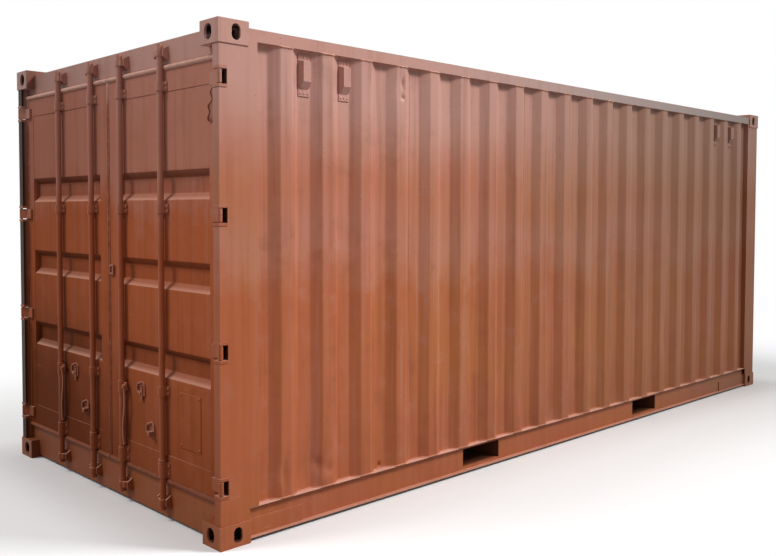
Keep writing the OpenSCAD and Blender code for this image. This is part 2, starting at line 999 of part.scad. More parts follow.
// half-round bead on the door face, along Y, rooted in the seal at z0 to z1
module bead_y(r, y0, y1, z, z0, z1) {
    along_y(y0, y1) {
        intersection() {
            translate([door_x, z]) circle(r);
            translate([door_x - 2 * r, z - r]) square([2 * r, 2 * r]);
        }
        translate([door_x - r / 4, z0]) square([r / 2, z1 - z0]);
    }
}

// half-round upright bead on the door face, rooted in the seal at y0 to y1
module bead_z(r, y, y0, y1) {
    along_z(leaf_z0, leaf_z1) {
        intersection() {
            translate([door_x, y]) circle(r);
            translate([door_x - 2 * r, y - r]) square([2 * r, 2 * r]);
        }
        translate([door_x - r / 4, y0]) square([r / 2, y1 - y0]);
    }
}

// seal around the leaf, with rounded beads that break at the rods and hinges
module left_door_seal() {
    back = door_x + 0.7 * door_t;
    color([0.55, 0.34, 0.27])
    union() {
        difference() {
            block(door_x, back, meet_gap, seal_y1, seal_z0, seal_z1);
            block(door_x - seal_w, back + seal_w, leaf_y0, leaf_y1, leaf_z0, leaf_z1);
        }
        difference() {
            union() {
                bead_y(bead_r, meet_gap, seal_y1, seal_z0 + bead_r, seal_z0, leaf_z0);
                bead_y(bead_r, meet_gap, seal_y1, seal_z1 - bead_r, leaf_z1, seal_z1);
            }
            for (y = [rod_inner_y, rod_outer_y]) {
                translate([door_x - 3 * bead_r, y, box_h / 2])
                    cube([6 * bead_r, 2 * ring_r + 2 * bead_clear, box_h], center = true);
            }
        }
        bead_z(side_bead_r, meet_gap + side_bead_r, meet_gap, leaf_y0);
        difference() {
            bead_z(side_bead_r, seal_y1 - side_bead_r, leaf_y1, seal_y1);
            for (z = hinge_zs) {
                translate([door_x - 3 * side_bead_r, seal_y1, z]) cube(
                    [6 * side_bead_r, 6 * side_bead_r, blade_h + 2 * bead_clear],
                    center = true
                );
            }
        }
    }
}

module right_door_seal() {
    right_hand() left_door_seal();
}

// rod bearing: foot plate, saddle and ring, standing on a face at x
module bearing(x, y, z0, h) {
    difference() {
        union() {
            block(door_x - foot_t, x, y - foot_w / 2, y + foot_w / 2, z0, z0 + h);
            block(rod_x, door_x - 1, y - ring_r, y + ring_r, z0, z0 + h);
            intersection() {
                translate([rod_x, y, z0]) cylinder(h = h, r = ring_r);
                block(rod_x - foot_w, x, y - foot_w, y + foot_w, z0, z0 + h);
            }
        }
        translate([rod_x, y, z0 - 1]) cylinder(h = h + 2, r = rod_r + rod_play);
    }
}

// bearings of one rod, with the low one where no handle is hung
module rod_bearings(y, low) {
    bearing(door_x, y, bearing_top_z - bearing_h / 2, bearing_h);
    bearing(panel_x, y, bearing_mid_z - bearing_h / 2, bearing_h);
    bearing(door_x, y, sleeve_z0, sleeve_h);
    if (low) {
        bearing(panel_x, y, bearing_low_z - bearing_h / 2, bearing_h);
    }
}

module left_rod_bearings() {
    color([0.40, 0.24, 0.18])
    for (i = [0, 1]) {
        rod_bearings(rod_ys[i], rod_dirs[i] > 0);
    }
}

module right_rod_bearings() {
    color([0.40, 0.24, 0.18])
    for (i = [2, 3]) {
        rod_bearings(rod_ys[i], rod_dirs[i] > 0);
    }
}

// half round hook of a catch, open towards -Y
module hook_2d() {
    r = catch_w / 2 - catch_lip;
    intersection() {
        difference() {
            circle(r);
            circle(r - catch_t);
        }
        translate([-catch_t, -r - 1]) square([catch_t + r + 1, 2 * r + 2]);
    }
}

// arched foot and hook that every catch has, about the arch's centre
module catch_body() {
    along_x(-catch_foot, 0) {
        circle(catch_w / 2);
        translate([-catch_w / 2, -catch_h]) square([catch_w, catch_h]);
    }
    along_x(-catch_d, -1) hook_2d();
}

// upper catch: a tongue with an eye hangs from a rivet
module upper_catch(y, z) {
    l = tongue_l + tongue_up;
    translate([panel_x, y, z]) {
        catch_body();
        translate([0, -tongue_w / 2, tongue_up]) {
            along_x(-catch_foot - tongue_t, 1 - catch_foot) difference() {
                union() {
                    circle(tongue_w / 2);
                    translate([-tongue_w / 2, tongue_w / 2 - l]) square([tongue_w, l - tongue_w / 2]);
                    translate([0, tongue_w / 2 - l]) circle(tongue_w / 2);
                }
                translate([0, tongue_w / 2 - l]) circle(tongue_eye);
            }
            along_x(-catch_d + 2, -catch_foot) circle(tongue_eye);
        }
    }
}

// lower catch: a rest with a sloping underside stands beside the hook
module lower_catch(y, z) {
    y0 = catch_lip - catch_w / 2;
    translate([panel_x, y, z]) {
        catch_body();
        along_y(y0, y0 + rest_w) polygon([
            [-1, catch_lip - catch_h],
            [-rest_d, -rest_drop - rest_h],
            [-rest_d, -rest_drop],
            [-1, -rest_drop]
        ]);
    }
}

module left_handle_catches() {
    color([0.58, 0.36, 0.28])
    union() {
        upper_catch(rod_outer_y - catch_1 * rod_span, catch_hi_z);
        lower_catch(rod_inner_y + catch_2 * rod_span, catch_lo_z);
    }
}

module right_handle_catches() {
    color([0.58, 0.36, 0.28])
    union() {
        upper_catch(-rod_inner_y - catch_3 * rod_span, catch_hi_z);
        lower_catch(-rod_outer_y + catch_4 * rod_span, catch_lo_z);
    }
}

module right_door_plate() {
    y0 = -panel_y1 + plate_in;
    z0 = panel_z0 + plate_up;
    color([0.50, 0.28, 0.20])
    block(panel_x - plate_t, panel_x, y0, y0 + plate_w, z0, z0 + plate_h);
}

// open bracket on the stile at the meeting edge
module right_door_bracket() {
    y1 = -leaf_y0 - 2 * side_bead_r;
    h = bracket_h / 2;
    color([0.52, 0.32, 0.25])
    difference() {
        block(door_x - bracket_d, door_x, y1 - bracket_w, y1, band_mid - h, band_mid + h);
        block(
            door_x - 2 * bracket_d, door_x - bracket_d / 3,
            y1 - bracket_w + bracket_wall, y1 - bracket_wall,
            band_mid - h + bracket_wall, band_mid + h - bracket_wall
        );
    }
}

// cam: collar and round ended finger about the rod centre, finger towards dir
module cam(z, dir) {
    straight = cam_l - cam_w / 2;
    translate([0, 0, z - cam_h / 2]) linear_extrude(cam_h) {
        circle(cam_r);
        translate([-cam_w / 2, dir > 0 ? 0 : -straight]) square([cam_w, straight]);
        translate([0, dir * straight]) circle(cam_w / 2);
    }
}

// hub with the handle's pivot pin, towards dir
module handle_hub(dir) {
    back = handle_x0 - rod_x + handle_t + 1;
    y0 = dir > 0 ? 0 : -handle_off - 14;
    translate([0, 0, handle_z - 36]) cylinder(h = 68, r = cam_r);
    block(back, back + 10, y0, y0 + handle_off + 14, handle_z - 22, handle_z + 22);
    translate([back + 5, dir * handle_off, handle_z]) rotate([0, -90, 0]) {
        cylinder(h = handle_t + 7.5, r = handle_pin_r);
        translate([0, 0, handle_t + 7]) cylinder(h = 3, r = handle_pin_r + 3);
    }
}

// collar and bare lug of a rod whose handle is missing, towards dir
module hub_stub(dir) {
    z = sleeve_z0 + sleeve_h + 4;
    translate([0, 0, z]) cylinder(h = 12, r = cam_r);
    mirror([0, dir < 0 ? 1 : 0, 0]) {
        block(-6, 6, 0, stub_l, z, z + 12);
        block(-6, 6, ring_r + 4, stub_l, z - stub_h, z + 12);
    }
}

// rod with a cam near each end, and a hub or a collar
module lock_rod(i) {
    dir = rod_dirs[i];
    color([0.42, 0.26, 0.21])
    translate([rod_x, rod_ys[i], 0]) union() {
        translate([0, 0, rod_z0]) cylinder(h = rod_z1 - rod_z0, r = rod_r);
        cam(cam_low_z, dir);
        cam(cam_top_z, dir);
        if (dir < 0) {
            handle_hub(dir);
        } else {
            hub_stub(dir);
        }
    }
}

module lock_rod_1() {
    lock_rod(0);
}

module lock_rod_2() {
    lock_rod(1);
}

module lock_rod_3() {
    lock_rod(2);
}

module lock_rod_4() {
    lock_rod(3);
}

// bent bar that hangs from its pivot beside the rod
module handle(i) {
    dir = rod_dirs[i];
    steps = 24;
    y = rod_ys[i] + dir * handle_off;
    path = [for (k = [0:steps])
        let (s = k / steps)
        [y + dir * handle_bend * sin(360 * s), handle_z - s * handle_l]];
    edge_a = [for (p = path) [p[0] - handle_w / 2, p[1]]];
    edge_b = [for (p = path) [p[0] + handle_w / 2, p[1]]];
    color([0.56, 0.36, 0.28])
    difference() {
        along_x(handle_x0, handle_x0 + handle_t) {
            polygon(concat(edge_a, reversed(edge_b)));
            translate([y, handle_z]) circle(handle_pin_r + 7);
            translate([y, handle_z - handle_l]) circle(handle_w / 2 + 1);
        }
        translate([handle_x0 - 1, y, handle_z]) rotate([0, 90, 0])
            cylinder(h = handle_t + 2, r = handle_pin_r + pin_play);
    }
}

module left_handle() {
    handle(0);
}

module right_handle() {
    handle(2);
}

right_rear_post();
left_rear_post();
right_front_post();
left_front_post();
top_castings();
bottom_castings();
right_side_panel();
left_side_panel();
front_panel();
roof_panel();
right_top_rail();
left_top_rail();
front_top_rail();
door_header();
right_bottom_rail();
left_bottom_rail();
pocket_bridges();
front_sill();
door_sill();
cross_members();
fork_pockets();
floor_deck();
vents();
cam_keepers();
hinge_lugs();
right_door_frame();
right_door_panel();
right_door_seal();
right_hinge_blades();
right_rod_bearings();
right_handle_catches();
right_door_plate();
right_door_bracket();
left_door_frame();
left_door_panel();
left_door_seal();
left_hinge_blades();
left_rod_bearings();
left_handle_catches();
lock_rod_1();
lock_rod_2();
lock_rod_3();
lock_rod_4();
left_handle();
right_handle();
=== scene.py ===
"""Looks of a painted steel shipping container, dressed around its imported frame.

X runs along the length with the doors at -X, Y across the width and Z up, in metres.
"""

from __future__ import annotations

import json
import logging
import math
from dataclasses import dataclass, field
from enum import Enum
from functools import cached_property
from typing import Any, Iterator, Sequence

import bpy
import numpy as np
from mathutils import Matrix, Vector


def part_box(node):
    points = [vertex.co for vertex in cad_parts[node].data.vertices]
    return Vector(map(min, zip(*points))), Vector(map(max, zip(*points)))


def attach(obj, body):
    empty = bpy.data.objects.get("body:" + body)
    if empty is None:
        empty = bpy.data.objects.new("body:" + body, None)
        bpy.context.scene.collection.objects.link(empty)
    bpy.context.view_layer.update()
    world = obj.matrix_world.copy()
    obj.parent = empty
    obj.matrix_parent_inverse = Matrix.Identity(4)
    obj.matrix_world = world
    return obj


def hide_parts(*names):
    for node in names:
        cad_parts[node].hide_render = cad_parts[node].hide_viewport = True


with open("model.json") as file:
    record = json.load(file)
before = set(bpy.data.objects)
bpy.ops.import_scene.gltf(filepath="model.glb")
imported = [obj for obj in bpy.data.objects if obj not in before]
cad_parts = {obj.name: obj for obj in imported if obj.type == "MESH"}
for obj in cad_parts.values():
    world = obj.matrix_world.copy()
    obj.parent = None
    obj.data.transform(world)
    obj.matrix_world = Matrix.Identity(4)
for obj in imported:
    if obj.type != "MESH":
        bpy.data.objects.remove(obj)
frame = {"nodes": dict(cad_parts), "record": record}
log = logging.getLogger("container")

Array = np.ndarray
Triple = tuple[float, float, float]


# Shader maths


class Sock:
    """A shader value that takes part in Python arithmetic."""

    def __init__(self, graph: "Graph", socket: Any) -> None:
        """Keeps the socket and the graph that it belongs to."""
        self.graph = graph
        self.socket = socket

    def __add__(self, other: "Sock | float") -> "Sock":
        """Sum of two values."""
        return self.graph.math("ADD", self, other)

    __radd__ = __add__

    def __sub__(self, other: "Sock | float") -> "Sock":
        """Difference of two values."""
        return self.graph.math("SUBTRACT", self, other)

    def __rsub__(self, other: "Sock | float") -> "Sock":
        """Difference with this value on the right."""
        return self.graph.math("SUBTRACT", other, self)

    def __mul__(self, other: "Sock | float") -> "Sock":
        """Product of two values."""
        return self.graph.math("MULTIPLY", self, other)

    __rmul__ = __mul__

    def most(self, other: "Sock | float") -> "Sock":
        """Larger of two values."""
        return self.graph.math("MAXIMUM", self, other)

    def size(self) -> "Sock":
        """Distance from zero."""
        return self.graph.math("ABSOLUTE", self, 0.0)

    def within(self, low: float, high: float) -> "Sock":
        """1 between two values and 0 outside them, with short eased edges."""
        ease = 0.003
        return self.step(low, low + ease) * self.step(high, high - ease)

    def step(self, low: float, high: float) -> "Sock":
        """Smooth step from 0 at low to 1 at high, which falls where low is above high."""
        sockets = {"Value": self, "From Min": low, "From Max": high}
        return self.graph.out("ShaderNodeMapRange", {"interpolation_type": "SMOOTHSTEP"}, sockets)


class Graph:
    """A node tree, with one method that makes any node."""

    def __init__(self, tree: Any) -> None:
        """Empties the tree."""
        self.tree = tree
        tree.nodes.clear()

    def node(self, kind: str, settings: dict[str, Any], sockets: dict[Any, Any]) -> Any:
        """Adds a node, applies its settings and then feeds its sockets.

        Args:
            kind: node type.
            settings: attributes that are set first.
            sockets: value or Sock for each input, by name or index.

        Returns:
            The new node.
        """
        made = self.tree.nodes.new(kind)
        for key, value in settings.items():
            setattr(made, key, value)
        for key, value in sockets.items():
            target = made.inputs[key]
            if isinstance(value, Sock):
                self.tree.links.new(value.socket, target)
            elif target.type == "RGBA":
                target.default_value = (*value, 1.0)
            else:
                target.default_value = value
        return made

    def out(
        self, kind: str, settings: dict[str, Any], sockets: dict[Any, Any], output: Any = 0
    ) -> Sock:
        """Adds a node, as node() does, and hands out one of its outputs, by name or index."""
        return Sock(self, self.node(kind, settings, sockets).outputs[output])

    def math(self, operation: str, a: Sock | float, b: Sock | float) -> Sock:
        """One Math node on two values."""
        return self.out("ShaderNodeMath", {"operation": operation}, {0: a, 1: b})

    def axis(self, vector: Sock, name: str) -> Sock:
        """One part of a vector, by its letter."""
        return self.out("ShaderNodeSeparateXYZ", {}, {0: vector}, name)

    @cached_property
    def at(self) -> Sock:
        """Object coordinates, which are metres in the container's own frame."""
        return self.out("ShaderNodeTexCoord", {}, {}, "Object")

    @cached_property
    def axes(self) -> tuple[Sock, ...]:
        """Places along the length, across the width and up."""
        return tuple(self.axis(self.at, letter) for letter in "XYZ")

    @cached_property
    def normal(self) -> Sock:
        """True normal of the surface."""
        return self.out("ShaderNodeNewGeometry", {}, {}, "Normal")

    @cached_property
    def facing(self) -> Sock:
        """Upright part of the true normal, 1 where a face looks up and -1 where it looks down."""
        return self.axis(self.normal, "Z")

    def stretched(self, scale: Triple) -> Sock:
        """Object coordinates scaled along each axis."""
        return self.out("ShaderNodeMapping", {}, {"Vector": self.at, "Scale": scale})

    def noise(
        self, vector: Sock, scale: float = 1.0, detail: float = 4.0, rough: float = 0.6
    ) -> Sock:
        """Fractal noise from 0 to 1: lumps in a metre, octaves, and the share of each finer one."""
        sockets = {"Vector": vector, "Scale": scale, "Detail": detail, "Roughness": rough}
        return self.out("ShaderNodeTexNoise", {}, sockets)

    def tint(self, share: Sock, a: Sock | Triple, b: Sock | Triple) -> Sock:
        """Mix of two colours, all a at share 0 and all b at share 1."""
        settings = {"data_type": "RGBA", "clamp_factor": True}
        return self.out("ShaderNodeMix", settings, {0: share, 6: a, 7: b}, 2)

    def soft_normal(self, radius: float) -> Sock:
        """Normal that turns smoothly over sharp edges, within a radius in metres."""
        return self.out("ShaderNodeBevel", {"samples": 4}, {"Radius": radius})

    def edge(self, soft: Sock) -> Sock:
        """How far a rounded normal leans from the true one.

        Args:
            soft: the rounded normal.

        Returns:
            Mask, 0 on flats and 1 on edges.
        """
        pair = {0: soft, 1: self.normal}
        dot = self.out("ShaderNodeVectorMath", {"operation": "DOT_PRODUCT"}, pair, "Value")
        return (1.0 - dot).step(0.01, 0.2)

    def bump(self, height: Sock, strength: float, distance: float, normal: Sock) -> Sock:
        """Another normal with a bump, where a height of 1 stands for a distance in metres."""
        sockets = {"Height": height, "Strength": strength, "Distance": distance, "Normal": normal}
        return self.out("ShaderNodeBump", {}, sockets)

    def finish(self, shader: Sock, output: str = "ShaderNodeOutputMaterial") -> None:
        """Ends the tree in an output node."""
        self.node(output, {}, {"Surface": shader})

    def surface(self, colour: Sock, rough: Sock, shine: float, normal: Sock) -> None:
        """Ends a material in one principled shader, with a shine that is the same all over."""
        sockets = {"Roughness": rough, "Specular IOR Level": shine, "Normal": normal}
        self.finish(self.out("ShaderNodeBsdfPrincipled", {}, {"Base Color": colour, **sockets}))


def new_material(name: str) -> tuple[bpy.types.Material, Graph]:
    """Makes a material with an empty node tree.

    Args:
        name: its name.

    Returns:
        The material and its graph.
    """
    material = bpy.data.materials.new(name)
    material.use_nodes = True
    return material, Graph(material.node_tree)


def linear(r: int, g: int, b: int) -> Triple:
    """Linear colour of an 8-bit screen colour."""
    values = (c / 255.0 for c in (r, g, b))
    return tuple(c / 12.92 if c <= 0.04045 else ((c + 0.055) / 1.055) ** 2.4 for c in values)


# Finishes


class DirtAndShade(Enum):
    """Where extra dirt, dust, painted shade and painted highlight gather on a painted piece."""

    NONE = "nowhere"
    LEDGES = "on the bottom rails and in the fork pockets"
    EYES = "in the corner castings"
    POST = "on the door posts, header, sill and top rails"
    DOORS = "on the door sheets"
    TOPS = "on the lock gear"
    WALLS = "on the wall sheets and their welds"
    ROOF = "on the roof"


Layers = Iterator[tuple[Sock, Triple]]


@dataclass(frozen=True)
class Paint:
    """Red-brown paint: chalky high up, darker low down, with runs, scuffs and a little rust.

    Chalk sets in by jump above the height line, thickens by rise from there to the roof and by
    top just under it, partly as painted sky reflection, and has a band of painted sheen over
    the line. The shares after these scale the streaks, the painted shade near the ground, the
    bare edges and the spots of rust.
    """

    base: Triple = linear(180, 100, 65)
    warm: Triple = linear(180, 107, 54)
    chalk: Triple = linear(198, 148, 135)
    deep: Triple = linear(106, 52, 28)
    bare: Triple = linear(222, 170, 150)
    rust: Triple = linear(82, 42, 26)
    # near-black for painted shade in pockets and castings, on the left post and the door end
    shade_black: Triple = linear(26, 18, 15)
    film_and_shade: Triple = linear(132, 98, 74)
    dust: Triple = linear(150, 146, 143)
    dirt_and_shade: DirtAndShade = DirtAndShade.NONE
    line: float = 1.33
    jump: float = 0.09
    painted_sheen: float = 0.24
    rise: float = 0.24
    top: float = 0.72
    runs: float = 0.5
    painted_shade: float = 0.5
    wear: float = 0.5
    rust_spots: float = 0.4
    gloss: float = 0.4
    shine: float = 0.2
    round_edge: float = 0.003

    def frame_dirt_and_shade(self, g: Graph, patch: Sock) -> Layers:
        """Dirt and painted shade on rails, castings and posts.

        Args:
            g: the graph.
            patch: patchy noise.

        Yields:
            Share and colour of each layer.
        """
        x, y, z = g.axes
        (rear, _, _), (_, outer, _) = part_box("left_rear_post")
        if self.dirt_and_shade in (DirtAndShade.LEDGES, DirtAndShade.EYES, DirtAndShade.POST):  # film and painted shade, darker towards the front end
            yield x.step(0.4, 2.9) * 0.5, self.film_and_shade
        if self.dirt_and_shade is DirtAndShade.LEDGES:  # dust on the flanges, then painted shade inside the fork pockets
            (_, _, low), (_, rail, high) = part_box("left_bottom_rail")
            ledge = z.step(high - 0.0065, high - 0.0015) * (patch * 0.4 + 0.75)
            foot = z.step(low + 0.012, low + 0.002) * (patch * 0.6 + 0.3)
            yield ledge + foot, self.bare
            yield y.size().step(rail - 0.026, rail - 0.071) * 0.85, self.shade_black
        if self.dirt_and_shade in (DirtAndShade.EYES, DirtAndShade.POST):  # door end, darker low down, with painted shade towards the left
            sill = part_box("door_sill")[0][0]
            doors = x.step(sill + 0.015, sill + 0.005)
            doors = doors * y.size().step(outer - 0.001, outer - 0.008)
            yield doors * (z.step(1.3, 0.3) * 0.28 + z.step(2.4, 2.2) * 0.1), self.deep
            yield doors * y.step(-0.9, 1.2) * 0.3, self.shade_black
        if self.dirt_and_shade is DirtAndShade.EYES:  # painted shade inside the castings, then on their inner faces
            long, wide, tall, wall = 0.178, 0.162, 0.118, 0.010
            end, side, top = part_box("top_castings")[1]
            inside = (
                x.size().within(end - long + wall, end - wall)
                * y.size().within(side - wide + wall, side - wall)
                * (z - 0.5 * top).size().within(0.5 * top - tall + wall, 0.5 * top - wall)
            )
            yield inside * 0.92, self.shade_black
            yield y.within(side - wide - wall, side - wide + wall) * 0.7, self.deep
        if self.dirt_and_shade is DirtAndShade.POST:  # painted shade on the left post's rear face, dust on the top rails, painted shade in hinge pockets
            painted_shade = x.step(rear + 0.03, rear + 0.004) * y.step(outer - 0.09, outer - 0.08)
            yield painted_shade * (z.step(0.2, 2.4) * 0.1 + 0.85), self.shade_black
            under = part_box("right_top_rail")[0][2]
            dusty = z.step(under - 0.002, under + 0.001) * (x + (patch - 0.5) * 1.2).step(-2.6, 1.2)
            yield dusty * 0.72, self.dust
            half, deep = 0.052, 0.045
            (_, _, low), (_, _, high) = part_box("hinge_lugs")
            first, *others = np.linspace(low + half, high - half, 4).tolist()
            near = (z - first).size()
            for level in others:
                near = g.math("MINIMUM", near, (z - level).size())
            hinge_pocket_shade = near.step(half + 0.001, half - 0.001)
            yield hinge_pocket_shade * x.step(rear + deep + 0.003, rear + deep + 0.001) * 0.9, self.shade_black

    def panel_dirt_and_shade(self, g: Graph, patch: Sock) -> Layers:
        """Dirt, painted shade and a painted highlight on doors, lock gear, walls and roof.

        Args:
            g: the graph.
            patch: patchy noise.

        Yields:
            Share and colour of each layer.
        """
        x, y, z = g.axes
        left, uneven = y.step(-0.7, 0.9), z + (patch - 0.5) * 0.5
        if self.dirt_and_shade is DirtAndShade.DOORS:  # darker low down, painted shade to the left and in the bands, then painted highlight on lower slopes
            side, low = left * 0.45 + 0.05, uneven.step(1.5, 0.1)
            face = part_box("right_door_panel")[0][0]
            # painted shade in the recessed bands
            recess_shade = x.step(face + 0.006, face + 0.027) * (low * 0.15 + 0.2)
            # painted shade on faces that look down
            under = g.facing.step(-0.3, -0.6) * 0.45
            yield side * 0.66 + low * side + low * 0.42 + recess_shade + under, self.deep
            # painted highlight on the bands' lower slopes and their outer bends
            lip = x.step(face + 0.022, face + 0.001)
            yield g.facing.step(0.3, 0.6) * (lip * 0.42 + 0.18), self.bare
        if self.dirt_and_shade is DirtAndShade.TOPS:  # darker low down, painted shade to the left, then paler on faces that look up
            low = uneven.step(1.4, 0.2)
            yield low * 0.25 + left * 0.15 + low * left * 0.2, self.deep
            yield g.facing.step(0.4, 0.8) * 0.55, self.bare
        if self.dirt_and_shade is DirtAndShade.WALLS:  # film and painted shade, darker towards the front end
            thick = (x + (patch - 0.5) * 1.5).step(-2.2, 1.6)
            yield thick * (z.step(0.3, 2.4) * 0.38 + 0.34), self.film_and_shade
        if self.dirt_and_shade is DirtAndShade.ROOF:  # broad stains, rusty where water stands
            stain = g.noise(g.stretched((1.0, 2.2, 1.0)), 1.3, detail=5.0, rough=0.65)
            yield stain.step(0.35, 0.7) * 0.5 + 0.15, self.film_and_shade
            yield (stain + patch * 0.4).step(0.84, 0.98) * 0.45, self.rust

    def make(self, name: str) -> bpy.types.Material:
        """Builds the paint.

        The colour turns from base to chalk above a wavy line, is streaked by noise that is
        stretched upright, darkened near the ground, worn pale along edges and in thin
        level scuffs, and spotted with rust. The same masks set the roughness and the bump.

        Args:
            name: the material's name.

        Returns:
            The material.
        """
        material, g = new_material(name)
        z = g.axes[2]
        cloud = g.noise(g.at, 1.1)
        blotch = g.noise(g.at, 7.0)
        grain = g.noise(g.at, 70.0, detail=3.0)
        streak = g.noise(g.stretched((18.0, 18.0, 0.6)))
        drag = g.noise(g.stretched((1.6, 1.6, 55.0)))
        soft = g.soft_normal(self.round_edge)
        edge = g.edge(soft)
        height = z + (cloud - 0.5) * 0.9 + (blotch - 0.5) * 0.3 + (streak - 0.5) * 0.2
        line = height.step(self.line - 0.2, self.line + 0.2)
        fade = line * self.jump + height.step(self.line - 0.2, 2.6) * self.rise
        # chalk thickening just under the roof: chalky paint, partly painted sky reflection
        fade = fade + (z + (cloud - 0.5) * 0.3).step(1.75, 2.35) * self.top
        # painted sheen: a pale band just over the chalk line
        fade = fade + line * height.step(self.line + 0.5, self.line + 0.1) * self.painted_sheen
        colour = g.tint(cloud.step(0.42, 0.62) * 0.6, self.base, self.warm)
        colour = g.tint(fade, colour, self.chalk)
        dark = (0.52 - streak).step(0.0, 0.2) * 0.3 + (0.5 - blotch).step(0.0, 0.25) * 0.2
        colour = g.tint(dark * self.runs, colour, self.deep)
        light = streak.step(0.52, 0.72) * 0.3 + blotch.step(0.54, 0.75) * 0.2
        colour = g.tint(light * self.runs, colour, self.chalk)
        # painted shade near the ground
        low = (z + (blotch - 0.5) * 0.5).step(0.7, 0.0) * self.painted_shade
        colour = g.tint(low * 0.3, colour, self.deep)
        # layers of dirt and dust, with painted shade and painted highlight among them
        for dirt in (self.frame_dirt_and_shade, self.panel_dirt_and_shade):
            for share, stuff in dirt(g, blotch):
                colour = g.tint(share, colour, stuff)
        chip = (edge * (grain * 0.6 + blotch * 0.8)).step(0.4, 0.8) * self.wear
        scuff = drag.step(0.66, 0.73) * blotch.step(0.5, 0.62) * self.wear
        colour = g.tint(chip * 0.5 + scuff * 0.35, colour, self.bare)
        spot = (grain * 0.5 + blotch * 0.4 + streak * 0.3).step(0.735, 0.79)
        rust = (spot + edge * blotch.step(0.5, 0.7) * 0.4) * self.rust_spots
        colour = g.tint(rust, colour, self.rust)
        rough = (grain - 0.5) * 0.12 + (blotch - 0.5) * 0.2 + low * 0.15 + rust * 0.3 + self.gloss
        relief = grain * 0.3 + blotch * 0.8 + streak * 0.5 - chip * 0.5 - spot * 0.4
        normal = g.bump(relief, strength=0.3, distance=0.003, normal=soft)
        g.surface(colour, rough, self.shine, normal)
        return material


@dataclass(frozen=True)
class PaintedRubber:
    """Door seal that has been painted over, with painted sky reflection high up, painted shade low
    down and a few cracks.
    """

    base: Triple = linear(154, 82, 52)
    pale: Triple = linear(226, 178, 160)
    crack_and_shade: Triple = linear(70, 44, 34)
    shine: float = 0.1
    round_edge: float = 0.003

    def make(self, name: str) -> bpy.types.Material:
        """Builds the seal's finish: lumpy paint, finely cracked, paler with height and darker low
        down.

        Args:
            name: the material's name.

        Returns:
            The material.
        """
        material, g = new_material(name)
        lumps = g.noise(g.at, 22.0, detail=3.0)
        grain = g.noise(g.at, 150.0, detail=3.0)
        torn = g.noise(g.stretched((30.0, 70.0, 70.0)), detail=3.0, rough=0.7)
        torn = (torn + lumps * 0.3).step(0.9, 0.98)
        z = g.axes[2]
        # paler with height, with a painted sky reflection on the header bead
        high = z.step(0.6, 2.2) * 0.2 + z.step(2.2, 2.4) * 0.65
        colour = g.tint((lumps - 0.5) * 0.8 + high, self.base, self.pale)
        # cracks, then painted shade low down
        colour = g.tint(torn * 0.6 + z.step(0.6, 0.2) * 0.45, colour, self.crack_and_shade)
        rough = grain * 0.2 + torn * 0.25 + 0.45
        relief = lumps * 0.8 + grain * 0.3 - torn * 0.7
        soft = g.soft_normal(self.round_edge)
        normal = g.bump(relief, strength=0.3, distance=0.002, normal=soft)
        g.surface(colour, rough, self.shine, normal)
        return material


@dataclass(frozen=True)
class Plywood:
    """Worn plywood, with grain along the length, stains and drag marks."""

    base: Triple = linear(158, 122, 84)
    dark: Triple = linear(108, 78, 50)
    stain: Triple = linear(66, 48, 36)
    pale: Triple = linear(196, 168, 128)
    shine: float = 0.5
    round_edge: float = 0.002

    def make(self, name: str) -> bpy.types.Material:
        """Builds the boards' finish from noise stretched along X and round stains.

        Args:
            name: the material's name.

        Returns:
            The material.
        """
        material, g = new_material(name)
        grain = g.noise(g.stretched((3.0, 95.0, 95.0)), detail=5.0, rough=0.65)
        stain = g.noise(g.at, 1.7)
        drag = g.noise(g.stretched((1.1, 60.0, 1.0)), detail=3.0)
        soft = g.soft_normal(self.round_edge)
        colour = g.tint(grain.step(0.35, 0.7), self.base, self.dark)
        colour = g.tint(stain.step(0.5, 0.72) * 0.6, colour, self.stain)
        colour = g.tint(drag.step(0.6, 0.72) * 0.4 + g.edge(soft) * 0.4, colour, self.pale)
        rough = grain * 0.25 + stain * 0.2 + 0.4
        relief = grain * 0.7 - drag * 0.4
        normal = g.bump(relief, strength=0.4, distance=0.0015, normal=soft)
        g.surface(colour, rough, self.shine, normal)
        return material


class Coat(Enum):
    """The finishes: the name of each one's material, and the record's slot that it belongs to."""

    WALL = ("wall_finish", "wall_paint")
    ROOF = ("roof_finish", "wall_paint")
    FRAME = ("frame_finish", "frame_paint")
    RAIL = ("rail_finish", "frame_paint")
    WELD = ("weld_finish", "frame_paint")
    DOOR = ("door_finish", "door_paint")
    GEAR = ("gear_finish", "gear_paint")
    GRIP = ("grip_finish", "gear_paint")
    CASTING = ("casting_finish", "casting_paint")
    BASE = ("base_finish", "base_paint")
    SEAL = ("seal_finish", "seal_rubber")
    RUBBER = ("rubber_finish", "seal_rubber")
    FLOOR = ("floor_finish", "floor_wood")

    @property
    def finish(self) -> str:
        """The material's name."""
        return self.value[0]

    @property
    def slot(self) -> str:
        """The record's slot."""
        return self.value[1]


